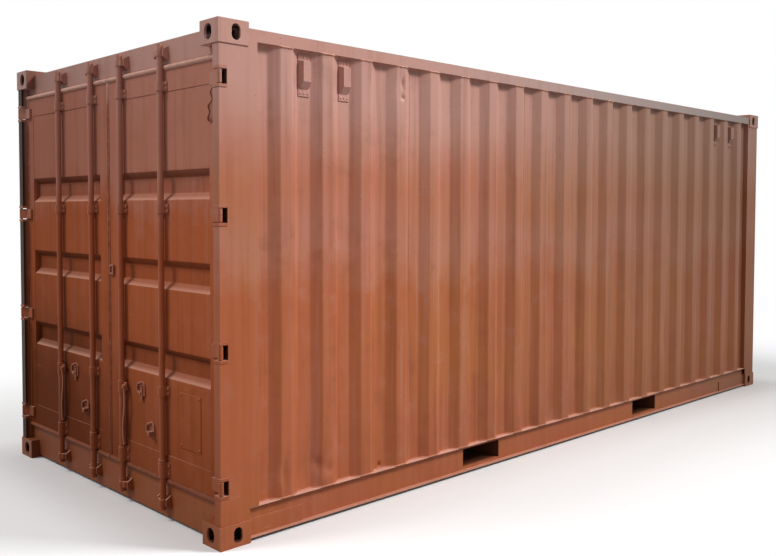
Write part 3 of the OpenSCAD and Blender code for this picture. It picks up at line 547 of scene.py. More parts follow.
class Paintshop:
    """Mixes each finish once and dresses pieces with it."""

    RAILS = ("right_bottom_rail", "left_bottom_rail", "pocket_bridges")
    HANDLED = (
        "left_handle",
        "right_handle",
        "left_handle_catches",
        "right_handle_catches",
        "right_door_bracket",
    )

    def __init__(self) -> None:
        """Mixes all the finishes."""
        door, dull, gear = linear(187, 99, 61), linear(96, 56, 40), linear(176, 96, 62)
        worn, dusty = linear(200, 132, 106), linear(206, 148, 128)
        crisp = {"jump": 0.16}
        leaf = {"base": door, "warm": door, "dirt_and_shade": DirtAndShade.DOORS, "line": 1.75, "top": 0.22, **crisp}
        iron = {"base": gear, "warm": gear, "dirt_and_shade": DirtAndShade.TOPS, "line": 1.7, "top": 0.3, **crisp}
        grip = {**iron, "base": linear(168, 96, 68), "warm": worn}
        bare = {"base": worn, "warm": worn, "chalk": dusty, "dirt_and_shade": DirtAndShade.WALLS}
        dark = {"base": dull, "warm": dull, "chalk": dull}
        recipes = {
            Coat.WALL: Paint(dirt_and_shade=DirtAndShade.WALLS, runs=0.85),
            Coat.ROOF: Paint(dirt_and_shade=DirtAndShade.ROOF, runs=0.2, wear=0.8, top=0.5),
            Coat.FRAME: Paint(dirt_and_shade=DirtAndShade.POST, runs=0.4, wear=0.8, shine=0.1),
            Coat.RAIL: Paint(dirt_and_shade=DirtAndShade.LEDGES, runs=0.4, wear=0.8),
            Coat.WELD: Paint(wear=1.0, gloss=0.5, **bare),
            Coat.DOOR: Paint(gloss=0.55, shine=0.02, **leaf),
            Coat.GEAR: Paint(wear=1.0, rust_spots=0.6, shine=0.08, **iron),
            Coat.GRIP: Paint(wear=1.0, rust_spots=0.6, shine=0.12, **grip),
            Coat.CASTING: Paint(dirt_and_shade=DirtAndShade.EYES, wear=1.0, rust_spots=0.6),
            Coat.BASE: Paint(rust_spots=0.8, gloss=0.6, **dark),
            Coat.SEAL: PaintedRubber(),
            Coat.RUBBER: PaintedRubber(base=linear(92, 46, 38), pale=linear(126, 74, 60)),
            Coat.FLOOR: Plywood(),
        }
        self.made = {coat: recipe.make(coat.finish) for coat, recipe in recipes.items()}

    def dress(self, obj: bpy.types.Object, coat: Coat) -> None:
        """Gives an object one finish all over.

        Args:
            obj: the object.
            coat: its finish.
        """
        if not obj.material_slots:
            obj.data.materials.append(self.made[coat])
        for held in obj.material_slots:
            held.material = self.made[coat]

    def dress_frame(self) -> None:
        """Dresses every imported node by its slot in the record, then the roof, rails and grips."""
        usual = {coat.slot: coat for coat in reversed(Coat)}
        for part in frame["record"]["subparts"]:
            self.dress(frame["nodes"][part["node"]], usual[part["material_slot"]])
        own = {Coat.ROOF: ("roof_panel",), Coat.RAIL: self.RAILS, Coat.GRIP: self.HANDLED}
        for coat, names in own.items():
            for name in names:
                self.dress(frame["nodes"][name], coat)

    def add(
        self, mesh: bpy.types.Mesh, body: str, coat: Coat, stands_for: Sequence[str] = ()
    ) -> None:
        """Puts a mesh into the scene as a piece that rides on a body.

        Args:
            mesh: the finished mesh.
            body: body that it rides on.
            coat: its finish.
            stands_for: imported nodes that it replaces.
        """
        obj = bpy.data.objects.new(mesh.name, mesh)
        bpy.context.scene.collection.objects.link(obj)
        self.dress(obj, coat)
        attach(obj, body)
        coat.slot
        if stands_for:
            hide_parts(*stands_for)
        log.info("%s on %s: %d faces", obj.name, body, len(mesh.polygons))


# Surfaces


SHARP_BEND = math.radians(50.0)
NO_FANS = np.zeros((0, 3), int)


@dataclass
class Form:
    """Points with the quads and triangles between them."""

    points: Array
    quads: Array
    fans: Array

    def mesh(self, name: str) -> bpy.types.Mesh:
        """Fills a mesh with whole arrays, smooth except over sharp bends.

        Args:
            name: name of the mesh.

        Returns:
            The mesh.
        """
        quads, fans = self.quads, self.fans
        starts = np.concatenate([np.arange(len(quads)) * 4, quads.size + np.arange(len(fans)) * 3])
        corners = np.concatenate([quads.ravel(), fans.ravel()])
        made = bpy.data.meshes.new(name)
        made.vertices.add(len(self.points))
        made.vertices.foreach_set("co", np.ascontiguousarray(self.points, np.float32).ravel())
        made.loops.add(len(corners))
        made.loops.foreach_set("vertex_index", corners.astype(np.int32))
        made.polygons.add(len(starts))
        made.polygons.foreach_set("loop_start", starts.astype(np.int32))
        made.polygons.foreach_set("use_smooth", np.ones(len(starts), bool))
        made.update(calc_edges=True)
        made.validate()
        made.set_sharp_from_angle(angle=SHARP_BEND)
        return made


def joined(forms: Sequence[Form]) -> Form:
    """One form from several, with the point numbers of each shifted past those before it."""
    shifts = np.cumsum([0] + [len(f.points) for f in forms[:-1]])
    return Form(
        np.concatenate([f.points for f in forms]),
        np.concatenate([f.quads + s for f, s in zip(forms, shifts)]),
        np.concatenate([f.fans + s for f, s in zip(forms, shifts)]),
    )


def cells(ids: Array) -> Array:
    """Quads between the rows and columns of a grid of point numbers."""
    quads = np.stack([ids[:-1, :-1], ids[:-1, 1:], ids[1:, 1:], ids[1:, :-1]], axis=-1)
    return quads.reshape(-1, 4)


def grid(x: Array, y: Array, z: Array) -> Array:
    """Points from coordinates that are spread over one grid."""
    return np.stack(np.broadcast_arrays(x, y, z), axis=-1)


def unit(vector: Array) -> Array:
    """Vectors of length 1 in the same directions."""
    return vector / np.linalg.norm(vector, axis=-1, keepdims=True)


def shell(front: Array, back: Array) -> Form:
    """Closed sheet between two grids of points, with a strip around the rim.

    Args:
        front: points of the outer face, by row and column.
        back: points of the inner face.

    Returns:
        The sheet.
    """
    rows, columns = front.shape[:2]
    count = rows * columns
    ids = np.arange(count).reshape(rows, columns)
    rim = np.concatenate([ids[0, :-1], ids[:-1, -1], ids[-1, :0:-1], ids[:0:-1, 0]])
    ahead = np.roll(rim, -1)
    strip = np.stack([ahead, rim, rim + count, ahead + count], axis=-1)
    face = cells(ids)
    points = np.concatenate([front.reshape(-1, 3), back.reshape(-1, 3)])
    return Form(points, np.concatenate([face, face[:, ::-1] + count, strip]), NO_FANS)


def bead(path: Array, side: Array, up: Array, radius: Array, corners: int = 8) -> Form:
    """Round bead carried along a path, with a fan over each end.

    Each ring is the path's point plus radius times (cosine along side, sine along up).

    Args:
        path: points of the path.
        side: unit vector across the path, at each point or for all.
        up: the other unit vector across the path; path direction x up is side.
        radius: radius at each point.
        corners: points in a ring.

    Returns:
        The bead.
    """
    angle = -2.0 * np.pi * np.arange(corners) / corners
    side, up = np.broadcast_to(side, path.shape), np.broadcast_to(up, path.shape)
    ring = np.cos(angle)[:, None] * side[:, None] + np.sin(angle)[:, None] * up[:, None]
    points = path[:, None] + np.broadcast_to(radius, len(path))[:, None, None] * ring
    ids = np.arange(len(path) * corners).reshape(len(path), corners)
    quads = cells(np.concatenate([ids, ids[:, :1]], axis=1))
    first, last = ids[0], ids[-1]
    hub = np.full(corners, ids.size)
    start = np.stack([np.roll(first, -1), first, hub], axis=-1)
    stop = np.stack([last, np.roll(last, -1), hub + 1], axis=-1)
    cloud = np.concatenate([points.reshape(-1, 3), path[:1], path[-1:]])
    return Form(cloud, quads, np.concatenate([start, stop]))


def ramp(t: Array, ease: float) -> Array:
    """Rise from 0 at t = 0 to 1 at t = 1 with eased ends, half the difference of two hyperbolas."""
    return 0.5 * (np.sqrt(t * t + ease * ease) - np.sqrt((t - 1.0) ** 2 + ease * ease) + 1.0)


def plateaus(at: Array, low: Array, high: Array, slope: float, ease: float) -> Array:
    """Sum of eased plateaus: for each, a ramp up from its low less a ramp that ends at its high.

    Args:
        at: positions.
        low: where each plateau starts to rise.
        high: where each has come down again.
        slope: width of its flanks.
        ease: roundness of its bends.

    Returns:
        The profile, 1 on the plateaus and 0 between them.
    """
    up = ramp((at[..., None] - low) / slope, ease)
    down = ramp((at[..., None] - high + slope) / slope, ease)
    return (up - down).sum(axis=-1)


# Where grid lines gather about a dent, in its half-widths
REACH = np.array([-1.7, -1.1, -0.5, 0.0, 0.5, 1.1, 1.7])


@dataclass(frozen=True)
class Dent:
    """A soft knock in a wall, pressed in as a bell curve."""

    along: float
    height: float
    wide: float
    tall: float
    deep: float


class Side(Enum):
    """Which way a corrugated wall faces."""

    RIGHT = "-Y"
    LEFT = "+Y"
    FRONT = "+X"


@dataclass
class CorrugatedWall:
    """A pressed wall sheet with rounded bends, knocks, upright seams and welds.

    It is worked out in its own coordinates, along the wall, outwards and up, then placed.
    """

    shop: Paintshop
    name: str
    node: str
    side: Side
    dents: Sequence[Dent] = ()
    seams: Sequence[int] = ()
    start: float = field(init=False)
    end: float = field(init=False)
    outer: float = field(init=False)
    low: float = field(init=False)
    high: float = field(init=False)
    depth: float = 0.036
    out_flat: float = 0.072
    in_flat: float = 0.081
    slope: float = 0.062
    ease: float = 0.05
    sheet: float = 0.002
    weld: float = 0.005
    seam_share: float = 0.7
    level_ripple: tuple[float, float] = (0.18, 900.0)
    seam_ripple: tuple[float, float] = (0.2, 700.0)
    seam_shift: float = 0.8
    seam_points: int = 160
    bulge: Triple = (0.0016, 0.0010, 0.0006)
    slow_rates: tuple[float, float] = (3.7, 2.1)
    quick_rates: tuple[float, float] = (6.3, 9.1)
    held: float = 0.015
    rows: int = 20

    def __post_init__(self) -> None:
        """Takes the wall's reach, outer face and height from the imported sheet's box."""
        (x0, y0, self.low), (x1, y1, self.high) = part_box(self.node)
        reach = {Side.RIGHT: (x0, x1, -y0), Side.LEFT: (-x1, -x0, y1), Side.FRONT: (y0, y1, x1)}
        self.start, self.end, self.outer = reach[self.side]

    def feet(self) -> Array:
        """Where each corrugation starts to rise, spread evenly about the wall's middle.

        Returns:
            The positions in order.
        """
        pitch = self.out_flat + self.in_flat + 2.0 * self.slope
        count = int((self.end - self.start - self.in_flat) / pitch)
        first = 0.5 * (self.start + self.end - count * pitch + self.in_flat)
        return first + np.arange(count) * pitch

    def rise(self, along: Array) -> Array:
        """Profile from 0 on inner flats to 1 on outer flats."""
        low, wide = self.feet(), self.out_flat + 2.0 * self.slope
        return plateaus(along, low, low + wide, self.slope, self.ease)

    def stations(self) -> Array:
        """Places along the wall that gather at the four bends of each corrugation.

        Returns:
            The positions in order.
        """
        near = np.array([-0.006, -0.002, 0.002, 0.006])
        fall = self.slope + self.out_flat
        bends = np.array([0.0, self.slope, fall, fall + self.slope])
        flats = np.array([fall - 0.5 * self.out_flat, fall + self.slope + 0.5 * self.in_flat])
        local = np.concatenate([(bends[:, None] + near).ravel(), flats])
        knocks = [dent.along + dent.wide * REACH for dent in self.dents]
        along = [[self.start, self.end], (self.feet()[:, None] + local).ravel(), *knocks]
        return np.unique(np.clip(np.concatenate(along), self.start, self.end))

    def heights(self) -> Array:
        """Heights of the grid's rows, which gather at the rails and at the dents.

        Returns:
            The heights in order, top first.
        """
        rim = np.array([0.0, 0.004, 0.009, 0.015, 0.03])
        clear = 0.05
        even = np.linspace(self.low + clear, self.high - clear, self.rows)
        knocks = [dent.height + dent.tall * REACH for dent in self.dents]
        up = np.concatenate([self.low + rim, self.high - rim, even, *knocks])
        return np.unique(np.clip(up, self.low, self.high))[::-1]

    def pressed(self, along: Array, up: Array) -> Array:
        """How far the sheet is pressed in: a bell curve for each dent over two slow waves.

        Args:
            along: positions along the wall.
            up: heights.

        Returns:
            Inward depth in metres, 0 at the rails.
        """
        free = np.clip(np.minimum(up - self.low, self.high - up) / self.held, 0.0, 1.0)
        even, slow, quick = self.bulge
        (slow_x, slow_z), (quick_x, quick_z) = self.slow_rates, self.quick_rates
        depth = even + slow * np.sin(slow_x * along + slow_z * up)
        depth = depth + quick * np.sin(quick_z * up + quick_x * along)
        for dent in self.dents:
            u = (along - dent.along) / dent.wide
            v = (up - dent.height) / dent.tall
            depth = depth + dent.deep * np.exp(-(u * u + v * v))
        return depth * free

    def placed(self, along: Array, out: Array, up: Array) -> Array:
        """Points of the container's frame.

        Args:
            along: positions along the wall.
            out: distance out from the container's middle.
            up: heights.

        Returns:
            XYZ of each point.
        """
        parts = {
            Side.RIGHT: (along, -out, up),
            Side.LEFT: (-along, out, up),
            Side.FRONT: (out, along, up),
        }
        return grid(*parts[self.side])

    def face(self, along: Array, up: Array) -> Array:
        """Distance of the outer face from the container's middle."""
        along, up = np.broadcast_arrays(along, up)
        return self.outer - self.depth * (1.0 - self.rise(along)) - self.pressed(along, up)

    def level_weld(self, height: float) -> Form:
        """Bead along the sheet at one height, with a ripple in its radius.

        Args:
            height: height of the bead.

        Returns:
            The bead.
        """
        along = self.stations()
        path = self.placed(along, self.face(along, np.float64(height)), np.float64(height))
        run = unit(np.gradient(path, axis=0))
        side = np.stack([run[:, 1], -run[:, 0], run[:, 2]], axis=-1)
        share, rate = self.level_ripple
        radius = self.weld * (1.0 + share * np.sin(rate * along))
        return bead(path, side, np.array([0.0, 0.0, 1.0]), radius)

    def upright_weld(self, along: float) -> Form:
        """Bead up the sheet at one place along it.

        Args:
            along: where the bead stands.

        Returns:
            The bead.
        """
        up = np.linspace(self.low, self.high, self.seam_points)
        path = self.placed(np.float64(along), self.face(np.full_like(up, along), up), up)
        axes = self.placed(np.array([1.0, 0.0]), np.array([0.0, 1.0]), np.zeros(2))
        share, rate = self.seam_ripple
        radius = self.seam_share * self.weld * (1.0 + share * np.sin(rate * up))
        return bead(path, axes[0], axes[1], radius, corners=6)

    def build(self) -> None:
        """Builds the sheet and its welds."""
        along = self.stations()[:, None]
        up = self.heights()[None, :]
        out = self.face(along, up)
        sheet = shell(self.placed(along, out, up), self.placed(along, out - self.sheet, up))
        self.shop.add(sheet.mesh(self.name), "container", Coat.WALL, [self.node])
        ends = (self.start + self.weld, self.end - self.weld)
        seams = self.feet()[list(self.seams)] - self.in_flat - self.seam_shift * self.weld
        lap = 0.001
        welds = [self.level_weld(self.low + lap), self.level_weld(self.high - lap)]
        welds += [self.upright_weld(place) for place in (*ends, *seams)]
        self.shop.add(joined(welds).mesh(self.name + "_welds"), "container", Coat.WELD)


@dataclass
class DoorSkin:
    """A door sheet with level pressed bands that end square against the door's stiles."""

    shop: Paintshop
    name: str
    node: str
    body: str
    band_gap: float = 0.476
    band_height: float = 0.154
    band_depth: float = 0.034
    band_slope: float = 0.036
    sheet: float = 0.002
    ease: float = 0.08
    wave: float = 0.0012
    wave_rates: tuple[float, float] = (7.0, 5.0)
    wave_shift: float = 0.6
    rows: int = 36
    columns: int = 25

    def build(self) -> None:
        """Builds the sheet: the band profile over Z carried along Y, with a slight wave."""
        (face, y_low, z_low), (_, y_high, z_high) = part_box(self.node)
        middle = 0.5 * (z_low + z_high)
        low = middle + self.band_gap * np.array([-1.0, 0.0, 1.0]) - 0.5 * self.band_height
        high = low + self.band_height
        bends = np.concatenate([low, low + self.band_slope, high - self.band_slope, high])
        near = np.array([-0.009, -0.005, -0.002, 0.0, 0.002, 0.005, 0.009])
        even = np.linspace(z_low, z_high, self.rows)
        z = np.concatenate([even, (bends[:, None] + near).ravel()])
        z = np.unique(np.clip(z, z_low, z_high))
        y = np.linspace(y_low, y_high, self.columns)
        rim = np.sin(np.pi * (y - y_low) / (y_high - y_low))[:, None]
        across, up = self.wave_rates
        swell = np.sin(across * y)[:, None] * np.sin(up * z + self.wave_shift)[None, :]
        wave = self.wave * (1.0 + swell)
        x = face + self.band_depth * plateaus(z, low, high, self.band_slope, self.ease) + wave * rim
        form = shell(grid(x, y[:, None], z), grid(x + self.sheet, y[:, None], z))
        self.shop.add(form.mesh(self.name), self.body, Coat.DOOR, [self.node])


@dataclass
class LooseLip:
    """Stretch of the right door's seal that came loose under the top hinge, with a bare edge."""

    shop: Paintshop
    z_low: float = 2.105
    z_high: float = 2.272
    wide: float = 0.064
    step: float = 0.2
    step_at: float = 0.52
    step_rate: float = 14.0
    fray: float = 0.07
    curl: float = 0.3
    ripple: float = 17.0
    taper_end: float = 1.06
    taper_rate: float = 9.0
    thick: float = 0.002
    lift: float = 0.007
    clear: float = 0.0005
    edge: float = 0.84
    rows: int = 40
    columns: int = 7

    def strip(self, low: float, high: float) -> Form:
        """Part of the lip, whose width steps with height and whose free edge curls up as a square.

        Args:
            low: share of the width where the strip starts.
            high: share of the width where it ends.

        Returns:
            The strip.
        """
        face, root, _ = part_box("right_door_frame")[0]
        z = np.linspace(self.z_low, self.z_high, self.rows)[None, :]
        share = np.linspace(low, high, self.columns)[:, None]
        run = (z - self.z_low) / (self.z_high - self.z_low)
        ripple = np.sin(self.ripple * run)
        stepped = np.tanh(self.step_rate * (run - self.step_at))
        width = 1.0 - self.step * stepped + self.fray * ripple
        taper = np.clip(self.taper_rate * (self.taper_end - run), 0.0, 1.0)
        y = root + share * self.wide * width * taper
        x = face - self.clear - self.lift * share**2 * (1.0 + self.curl * ripple)
        return shell(grid(x - self.thick, y, z), grid(x, y, z))

    def build(self) -> None:
        """Builds the painted part of the lip and its bare rubber edge."""
        painted, bare = self.strip(0.0, self.edge), self.strip(self.edge, 1.0)
        self.shop.add(painted.mesh("loose_seal_lip"), "right_door", Coat.SEAL)
        self.shop.add(bare.mesh("loose_seal_edge"), "right_door", Coat.RUBBER)


@dataclass(frozen=True)
class Head:
    """Turned fastener head: rings of a profile about an axis, closed at both poles."""

    radius: float
    height: float
    corners: int = 10
    shape: Sequence[tuple[float, float]] = ((0.55, 0.86), (0.9, 0.45), (1.0, 0.0))

    def stamped(self, places: Array, axis: Triple) -> Form:
        """A head at every place.

        Args:
            places: foot of each head.
            axis: unit vector that the heads point along.

        Returns:
            All the heads.
        """
        angle = 2.0 * np.pi * np.arange(self.corners) / self.corners
        ring = np.stack([np.cos(angle), np.sin(angle)], axis=-1)
        wide, tall = np.array(self.shape).T
        flat = (self.radius * wide[:, None, None] * ring).reshape(-1, 2)
        rise = np.repeat(self.height * tall, self.corners)
        poles = [[0.0, 0.0, self.height], [0.0, 0.0, 0.0]]
        local = np.concatenate([np.column_stack([flat, rise]), poles])
        across = np.roll(axis, 1)
        turn = np.stack([across, np.cross(axis, across), axis])
        points = places[:, None] + (local @ turn)[None]
        ids = np.arange(len(wide) * self.corners).reshape(len(wide), self.corners)
        quads = cells(np.concatenate([ids, ids[:, :1]], axis=1))[:, [0, 3, 2, 1]]
        top, foot = np.full(self.corners, ids.size), np.full(self.corners, ids.size + 1)
        ahead = np.roll(ids, -1, axis=1)
        caps = [top, ids[0], ahead[0]], [foot, ahead[-1], ids[-1]]
        fans = np.concatenate([np.stack(cap, axis=-1) for cap in caps])
        shift = (np.arange(len(places)) * len(local))[:, None, None]
        quads, fans = (quads + shift).reshape(-1, 4), (fans + shift).reshape(-1, 3)
        return Form(points.reshape(-1, 3), quads, fans)


def spread(*ranges: Sequence[float]) -> Array:
    """Every combination of the given X, Y and Z values, as points."""
    return np.stack(np.meshgrid(*[np.array(r) for r in ranges], indexing="ij"), -1).reshape(-1, 3)


@dataclass
class Fasteners:
    """Rivets on vents and plate, and bolts on the feet of the rod bearings."""

    shop: Paintshop
    wall: CorrugatedWall
    rivet: Head = Head(0.0065, 0.0035)
    bolt: Head = Head(0.010, 0.006, 6, ((0.8, 1.0), (1.0, 0.8), (1.0, 0.0)))
    vents: Sequence[int] = (1, 2, -2, -1)
    vent_plate: float = 0.003
    vent_span: float = 0.024
    vent_inset: float = 0.015
    plate_inset: float = 0.013
    foot: float = 0.004
    across: float = 0.032
    bearings: Sequence[float] = (2.320, 1.676)
    low_bearing: float = 0.704
    sleeve: Sequence[float] = (0.255, 0.299)
    up: float = 0.013

    def on_vents(self) -> None:
        """Rivets above and below each vent's hood, in the hollows where the vents stand."""
        wall = self.wall
        face = wall.outer - wall.depth + self.vent_plate
        middles = wall.feet()[list(self.vents)] - 0.5 * wall.in_flat
        xs = (middles[:, None] + self.vent_span * np.array([-1.0, 0.0, 1.0])).ravel()
        (_, _, z0), (_, _, z1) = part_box("vents")
        zs = [z0 + self.vent_inset, z1 - self.vent_inset]
        right = self.rivet.stamped(spread(xs, [-face], zs), (0.0, -1.0, 0.0))
        left = self.rivet.stamped(spread(xs, [face], zs), (0.0, 1.0, 0.0))
        self.shop.add(joined([right, left]).mesh("vent_rivets"), "container", Coat.WALL)

    def on_bearings(self) -> None:
        """Bolts at the corners of each rod bearing's foot."""
        pair = np.array([-1.0, 1.0])
        joints = {joint["name"]: joint for joint in frame["record"]["behaviour"]["joints"]}
        heights = np.array(self.bearings)[:, None] + self.up * pair
        zs = np.concatenate([heights.ravel(), self.sleeve])
        for body, rods in (("left_door", (1, 2)), ("right_door", (3, 4))):
            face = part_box(body + "_frame")[0][0] - self.foot
            middles = np.array([joints[f"rod_{k}_turn"]["pos_m"][1] for k in rods])
            ys = middles[:, None] + self.across * pair
            low = spread([face], ys[1], self.low_bearing + self.up * pair)
            places = np.concatenate([spread([face], ys.ravel(), zs), low])
            heads = self.bolt.stamped(places, (-1.0, 0.0, 0.0))
            self.shop.add(heads.mesh(body + "_bearing_bolts"), body, Coat.GEAR)

    def on_plate(self) -> None:
        """Rivets at the corners of the bare plate."""
        (x0, y0, z0), (_, y1, z1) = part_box("right_door_plate")
        inset = self.plate_inset
        places = spread([x0], [y0 + inset, y1 - inset], [z0 + inset, z1 - inset])
        heads = self.rivet.stamped(places, (-1.0, 0.0, 0.0))
        self.shop.add(heads.mesh("plate_rivets"), "right_door", Coat.DOOR)

    def build(self) -> None:
        """Sets all the fasteners."""
        self.on_vents()
        self.on_bearings()
        self.on_plate()


@dataclass
class FloorBoards:
    """Plywood floor of large boards with eased edges, screwed down in rows."""

    shop: Paintshop
    notch: float = 0.010
    lengths: int = 5
    gap: float = 0.003
    easing: float = 0.003
    screw: Head = Head(0.007, 0.0012, 8)
    end_inset: float = 0.03
    side_insets: tuple[float, float] = (0.04, 0.05)
    screw_columns: int = 5

    def board(self, low: Triple, high: Triple) -> Form:
        """One closed board whose top drops along its rim.

        Args:
            low: lowest corner.
            high: highest corner.

        Returns:
            The board.
        """
        (x0, y0, z0), (x1, y1, z1), e = low, high, self.easing
        x = np.array([x0, x0 + e, x1 - e, x1])[None, :]
        y = np.array([y0, y0 + e, y1 - e, y1])[:, None]
        inside = np.array([0.0, 1.0, 1.0, 0.0])
        z = z1 - e * (1.0 - inside[:, None] * inside[None, :])
        return shell(grid(x, y, z), grid(x, y, z0))

    def build(self) -> None:
        """Lays the boards in two columns and screws them down."""
        (first, _, bottom), (last, wide, top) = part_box("floor_deck")
        cuts = np.linspace(first, last, self.lengths + 1)
        boards = []
        for k, (x0, x1) in enumerate(zip(cuts[:-1], cuts[1:])):
            half = wide - self.notch if k == 0 else wide
            for y0, y1 in ((-half, -0.5 * self.gap), (0.5 * self.gap, half)):
                boards.append(self.board((x0, y0, bottom), (x1 - self.gap, y1, top)))
        floor = joined(boards).mesh("floor_boards")
        self.shop.add(floor, "container", Coat.FLOOR, ["floor_deck"])
        starts, stops = cuts[:-1], cuts[1:]
        rows = [starts + self.end_inset, 0.5 * (starts + stops), stops - self.end_inset]
        middle, side = self.side_insets
        column = np.linspace(middle, wide - side, self.screw_columns)
        places = spread(np.sort(np.concatenate(rows)), np.concatenate([-column, column]), [top])
        screws = self.screw.stamped(places, (0.0, 0.0, 1.0))
        self.shop.add(screws.mesh("floor_screws"), "container", Coat.GEAR)


# Studio


@dataclass(frozen=True)
class Studio:
    """Camera, pale floor and soft light."""

    eye: Triple = (-5.375, -4.8239, 1.6614)
    yaw: float = 0.7928
    pitch: float = -0.0394
    roll: float = 0.0027
    focus_px: float = 877.3
    wide_px: float = 776.0
    sensor: float = 36.0
    shift: tuple[float, float] = (-0.0126, -0.0405)
    floor_half: float = 60.0
    floor_lines: int = 13
    white: Triple = (1.0, 1.0, 1.0)
    pale: Triple = (0.9, 0.9, 0.9)
    dim: Triple = (0.3, 0.3, 0.3)
    sky: float = 0.37

    def stand(self, data: Any, name: str, axes: Sequence[Array], at: Triple) -> bpy.types.Object:
        """Places a camera or lamp.

        Args:
            data: the camera or lamp.
            name: its name.
            axes: its right, up and backward directions.
            at: its place.

        Returns:
            The new object.
        """
        obj = bpy.data.objects.new(name, data)
        bpy.context.scene.collection.objects.link(obj)
        turn = np.eye(4)
        turn[:3, :3] = np.stack(axes, axis=1)
        turn[:3, 3] = at
        obj.matrix_world = Matrix(turn.tolist())
        return obj

    def camera(self) -> None:
        """Stands the camera where the photograph was taken from."""
        cy, sy = math.cos(self.yaw), math.sin(self.yaw)
        cp, sp = math.cos(self.pitch), math.sin(self.pitch)
        ahead = np.array([cy * cp, sy * cp, sp])
        right = np.array([sy, -cy, 0.0])
        up = np.cross(right, ahead)
        cr, sr = math.cos(self.roll), math.sin(self.roll)
        right, up = cr * right + sr * up, cr * up - sr * right
        data = bpy.data.cameras.new("eye")
        data.sensor_fit = "HORIZONTAL"
        data.sensor_width = self.sensor
        data.lens = self.sensor * self.focus_px / self.wide_px
        data.shift_x, data.shift_y = self.shift
        data.clip_end = 300.0
        bpy.context.scene.camera = self.stand(data, "eye", (right, up, -ahead), self.eye)

    def lamp(self, data: Any, at: Triple, to: Triple) -> None:
        """Hangs a lamp so that it faces a point.

        Args:
            data: the lamp.
            at: its place.
            to: point that it faces.
        """
        back = unit(np.subtract(at, to))
        right = unit(np.cross((0.0, 0.0, 1.0), back))
        self.stand(data, data.name, (right, np.cross(back, right), back), at)

    def lamps(self) -> None:
        """Hangs a gridded softbox for the side and a wide far lamp for the doors."""
        side = bpy.data.lights.new("side_softbox", "AREA")
        side.shape, side.size = "SQUARE", 4.0
        side.energy, side.spread = 258.0, math.radians(60.0)
        self.lamp(side, at=(5.1, -9.75, 11.65), to=(-2.4, -1.2, 1.9))
        door = bpy.data.lights.new("door_lamp", "SUN")
        door.energy, door.angle = 1.35, math.radians(20.0)
        self.lamp(door, at=(-15.0, 7.0, 18.5), to=(-3.0, 0.0, 1.3))

    def seen(self, g: Graph) -> Sock:
        """1 for rays from the eye, a mirror or glass, and 0 for the light that falls on things.

        Args:
            g: the graph.

        Returns:
            The mask.
        """
        path = g.node("ShaderNodeLightPath", {}, {})
        names = ("Is Camera Ray", "Is Glossy Ray", "Is Transmission Ray")
        eye, gloss, glass = (Sock(g, path.outputs[n]) for n in names)
        return eye.most(gloss).most(glass)

    def floor(self) -> None:
        """Lays a pale floor that keeps the shadow and turns white far off."""
        side = np.linspace(-self.floor_half, self.floor_half, self.floor_lines)
        points = grid(side[:, None], side, 0.0)
        quads = cells(np.arange(side.size**2).reshape(side.size, -1))[:, ::-1]
        mesh = Form(points.reshape(-1, 3), quads, NO_FANS).mesh("studio_floor")
        obj = bpy.data.objects.new("studio_floor", mesh)
        bpy.context.scene.collection.objects.link(obj)
        material, g = new_material("floor_white")
        half_x, half_y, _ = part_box("bottom_castings")[1]
        x, y, _ = g.axes
        beside = (x.size() - half_x).most(y.size() - half_y)
        lit = g.out("ShaderNodeBsdfDiffuse", {}, {"Color": self.pale})
        white = g.out("ShaderNodeEmission", {}, {"Color": self.white, "Strength": 1.0})
        dim = g.out("ShaderNodeBsdfDiffuse", {}, {"Color": self.dim})
        share = beside.step(0.0, 0.5) * 0.35 + beside.step(0.3, 3.5) * 0.65
        shown = g.out("ShaderNodeMixShader", {}, {0: share, 1: lit, 2: white})
        g.finish(g.out("ShaderNodeMixShader", {}, {0: self.seen(g), 1: dim, 2: shown}))
        mesh.materials.append(material)

    def world(self) -> None:
        """Even soft light that the eye sees as plain white."""
        world = bpy.data.worlds.new("studio")
        bpy.context.scene.world = world
        world.use_nodes = True
        g = Graph(world.node_tree)
        light = g.out("ShaderNodeBackground", {}, {"Color": self.white, "Strength": self.sky})
        white = g.out("ShaderNodeBackground", {}, {"Color": self.white, "Strength": 1.0})
        shown = g.out("ShaderNodeMixShader", {}, {0: self.seen(g), 1: light, 2: white})
        g.finish(shown, "ShaderNodeOutputWorld")

    def build(self) -> None:
        """Sets up the whole studio."""
        self.camera()
        self.floor()
        self.world()
        self.lamps()
        bpy.context.scene.view_settings.view_transform = "Standard"


RIGHT_DENTS = (
    Dent(-1.785, 2.370, 0.050, 0.090, 0.008),
    Dent(-1.772, 2.405, 0.012, 0.030, 0.010),
    Dent(-1.770, 2.322, 0.014, 0.014, 0.009),
    Dent(-2.480, 0.310, 0.160, 0.090, 0.008),
    Dent(-2.628, 0.300, 0.030, 0.060, 0.009),
    Dent(-2.397, 0.305, 0.026, 0.035, 0.010),
    Dent(-2.320, 0.260, 0.035, 0.030, 0.009),
    Dent(-1.925, 0.200, 0.012, 0.016, 0.014),
    Dent(0.020, 1.020, 0.070, 0.160, 0.010),
    Dent(-0.630, 0.450, 0.090, 0.130, 0.010),
    Dent(1.350, 0.620, 0.080, 0.150, 0.009),
)
SEAMS = (4, 8, 12, 16)


def main() -> None:
    """Builds and dresses the container."""
    logging.basicConfig(level=logging.INFO, format="%(message)s")
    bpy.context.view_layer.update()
    Studio().build()
    shop = Paintshop()
    shop.dress_frame()
    walls = (
        CorrugatedWall(
            shop, "right_wall_sheet", "right_side_panel", Side.RIGHT, RIGHT_DENTS, SEAMS
        ),
        CorrugatedWall(shop, "left_wall_sheet", "left_side_panel", Side.LEFT, (), SEAMS),
        CorrugatedWall(shop, "front_wall_sheet", "front_panel", Side.FRONT),
    )
    doors = (
        DoorSkin(shop, "left_door_sheet", "left_door_panel", "left_door"),
        DoorSkin(shop, "right_door_sheet", "right_door_panel", "right_door"),
    )
    for part in (*walls, *doors, LooseLip(shop), Fasteners(shop, walls[0]), FloorBoards(shop)):
        part.build()


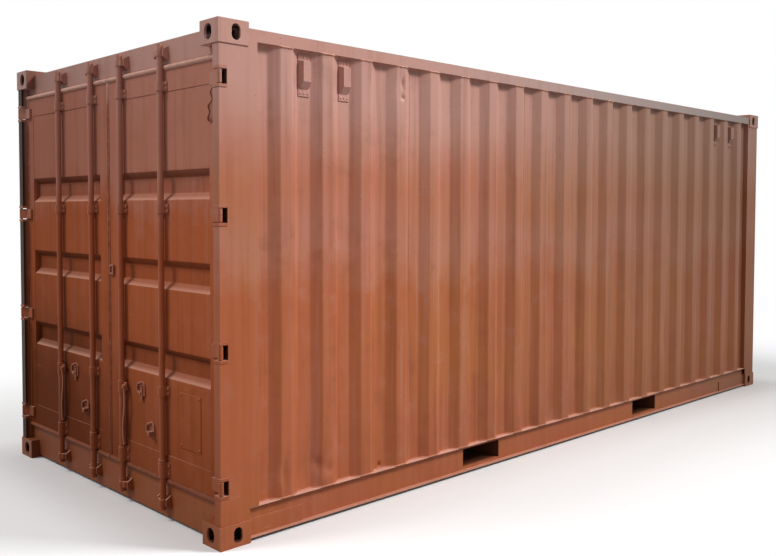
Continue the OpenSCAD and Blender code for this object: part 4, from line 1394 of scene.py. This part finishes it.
if __name__ == "__main__":
    main()
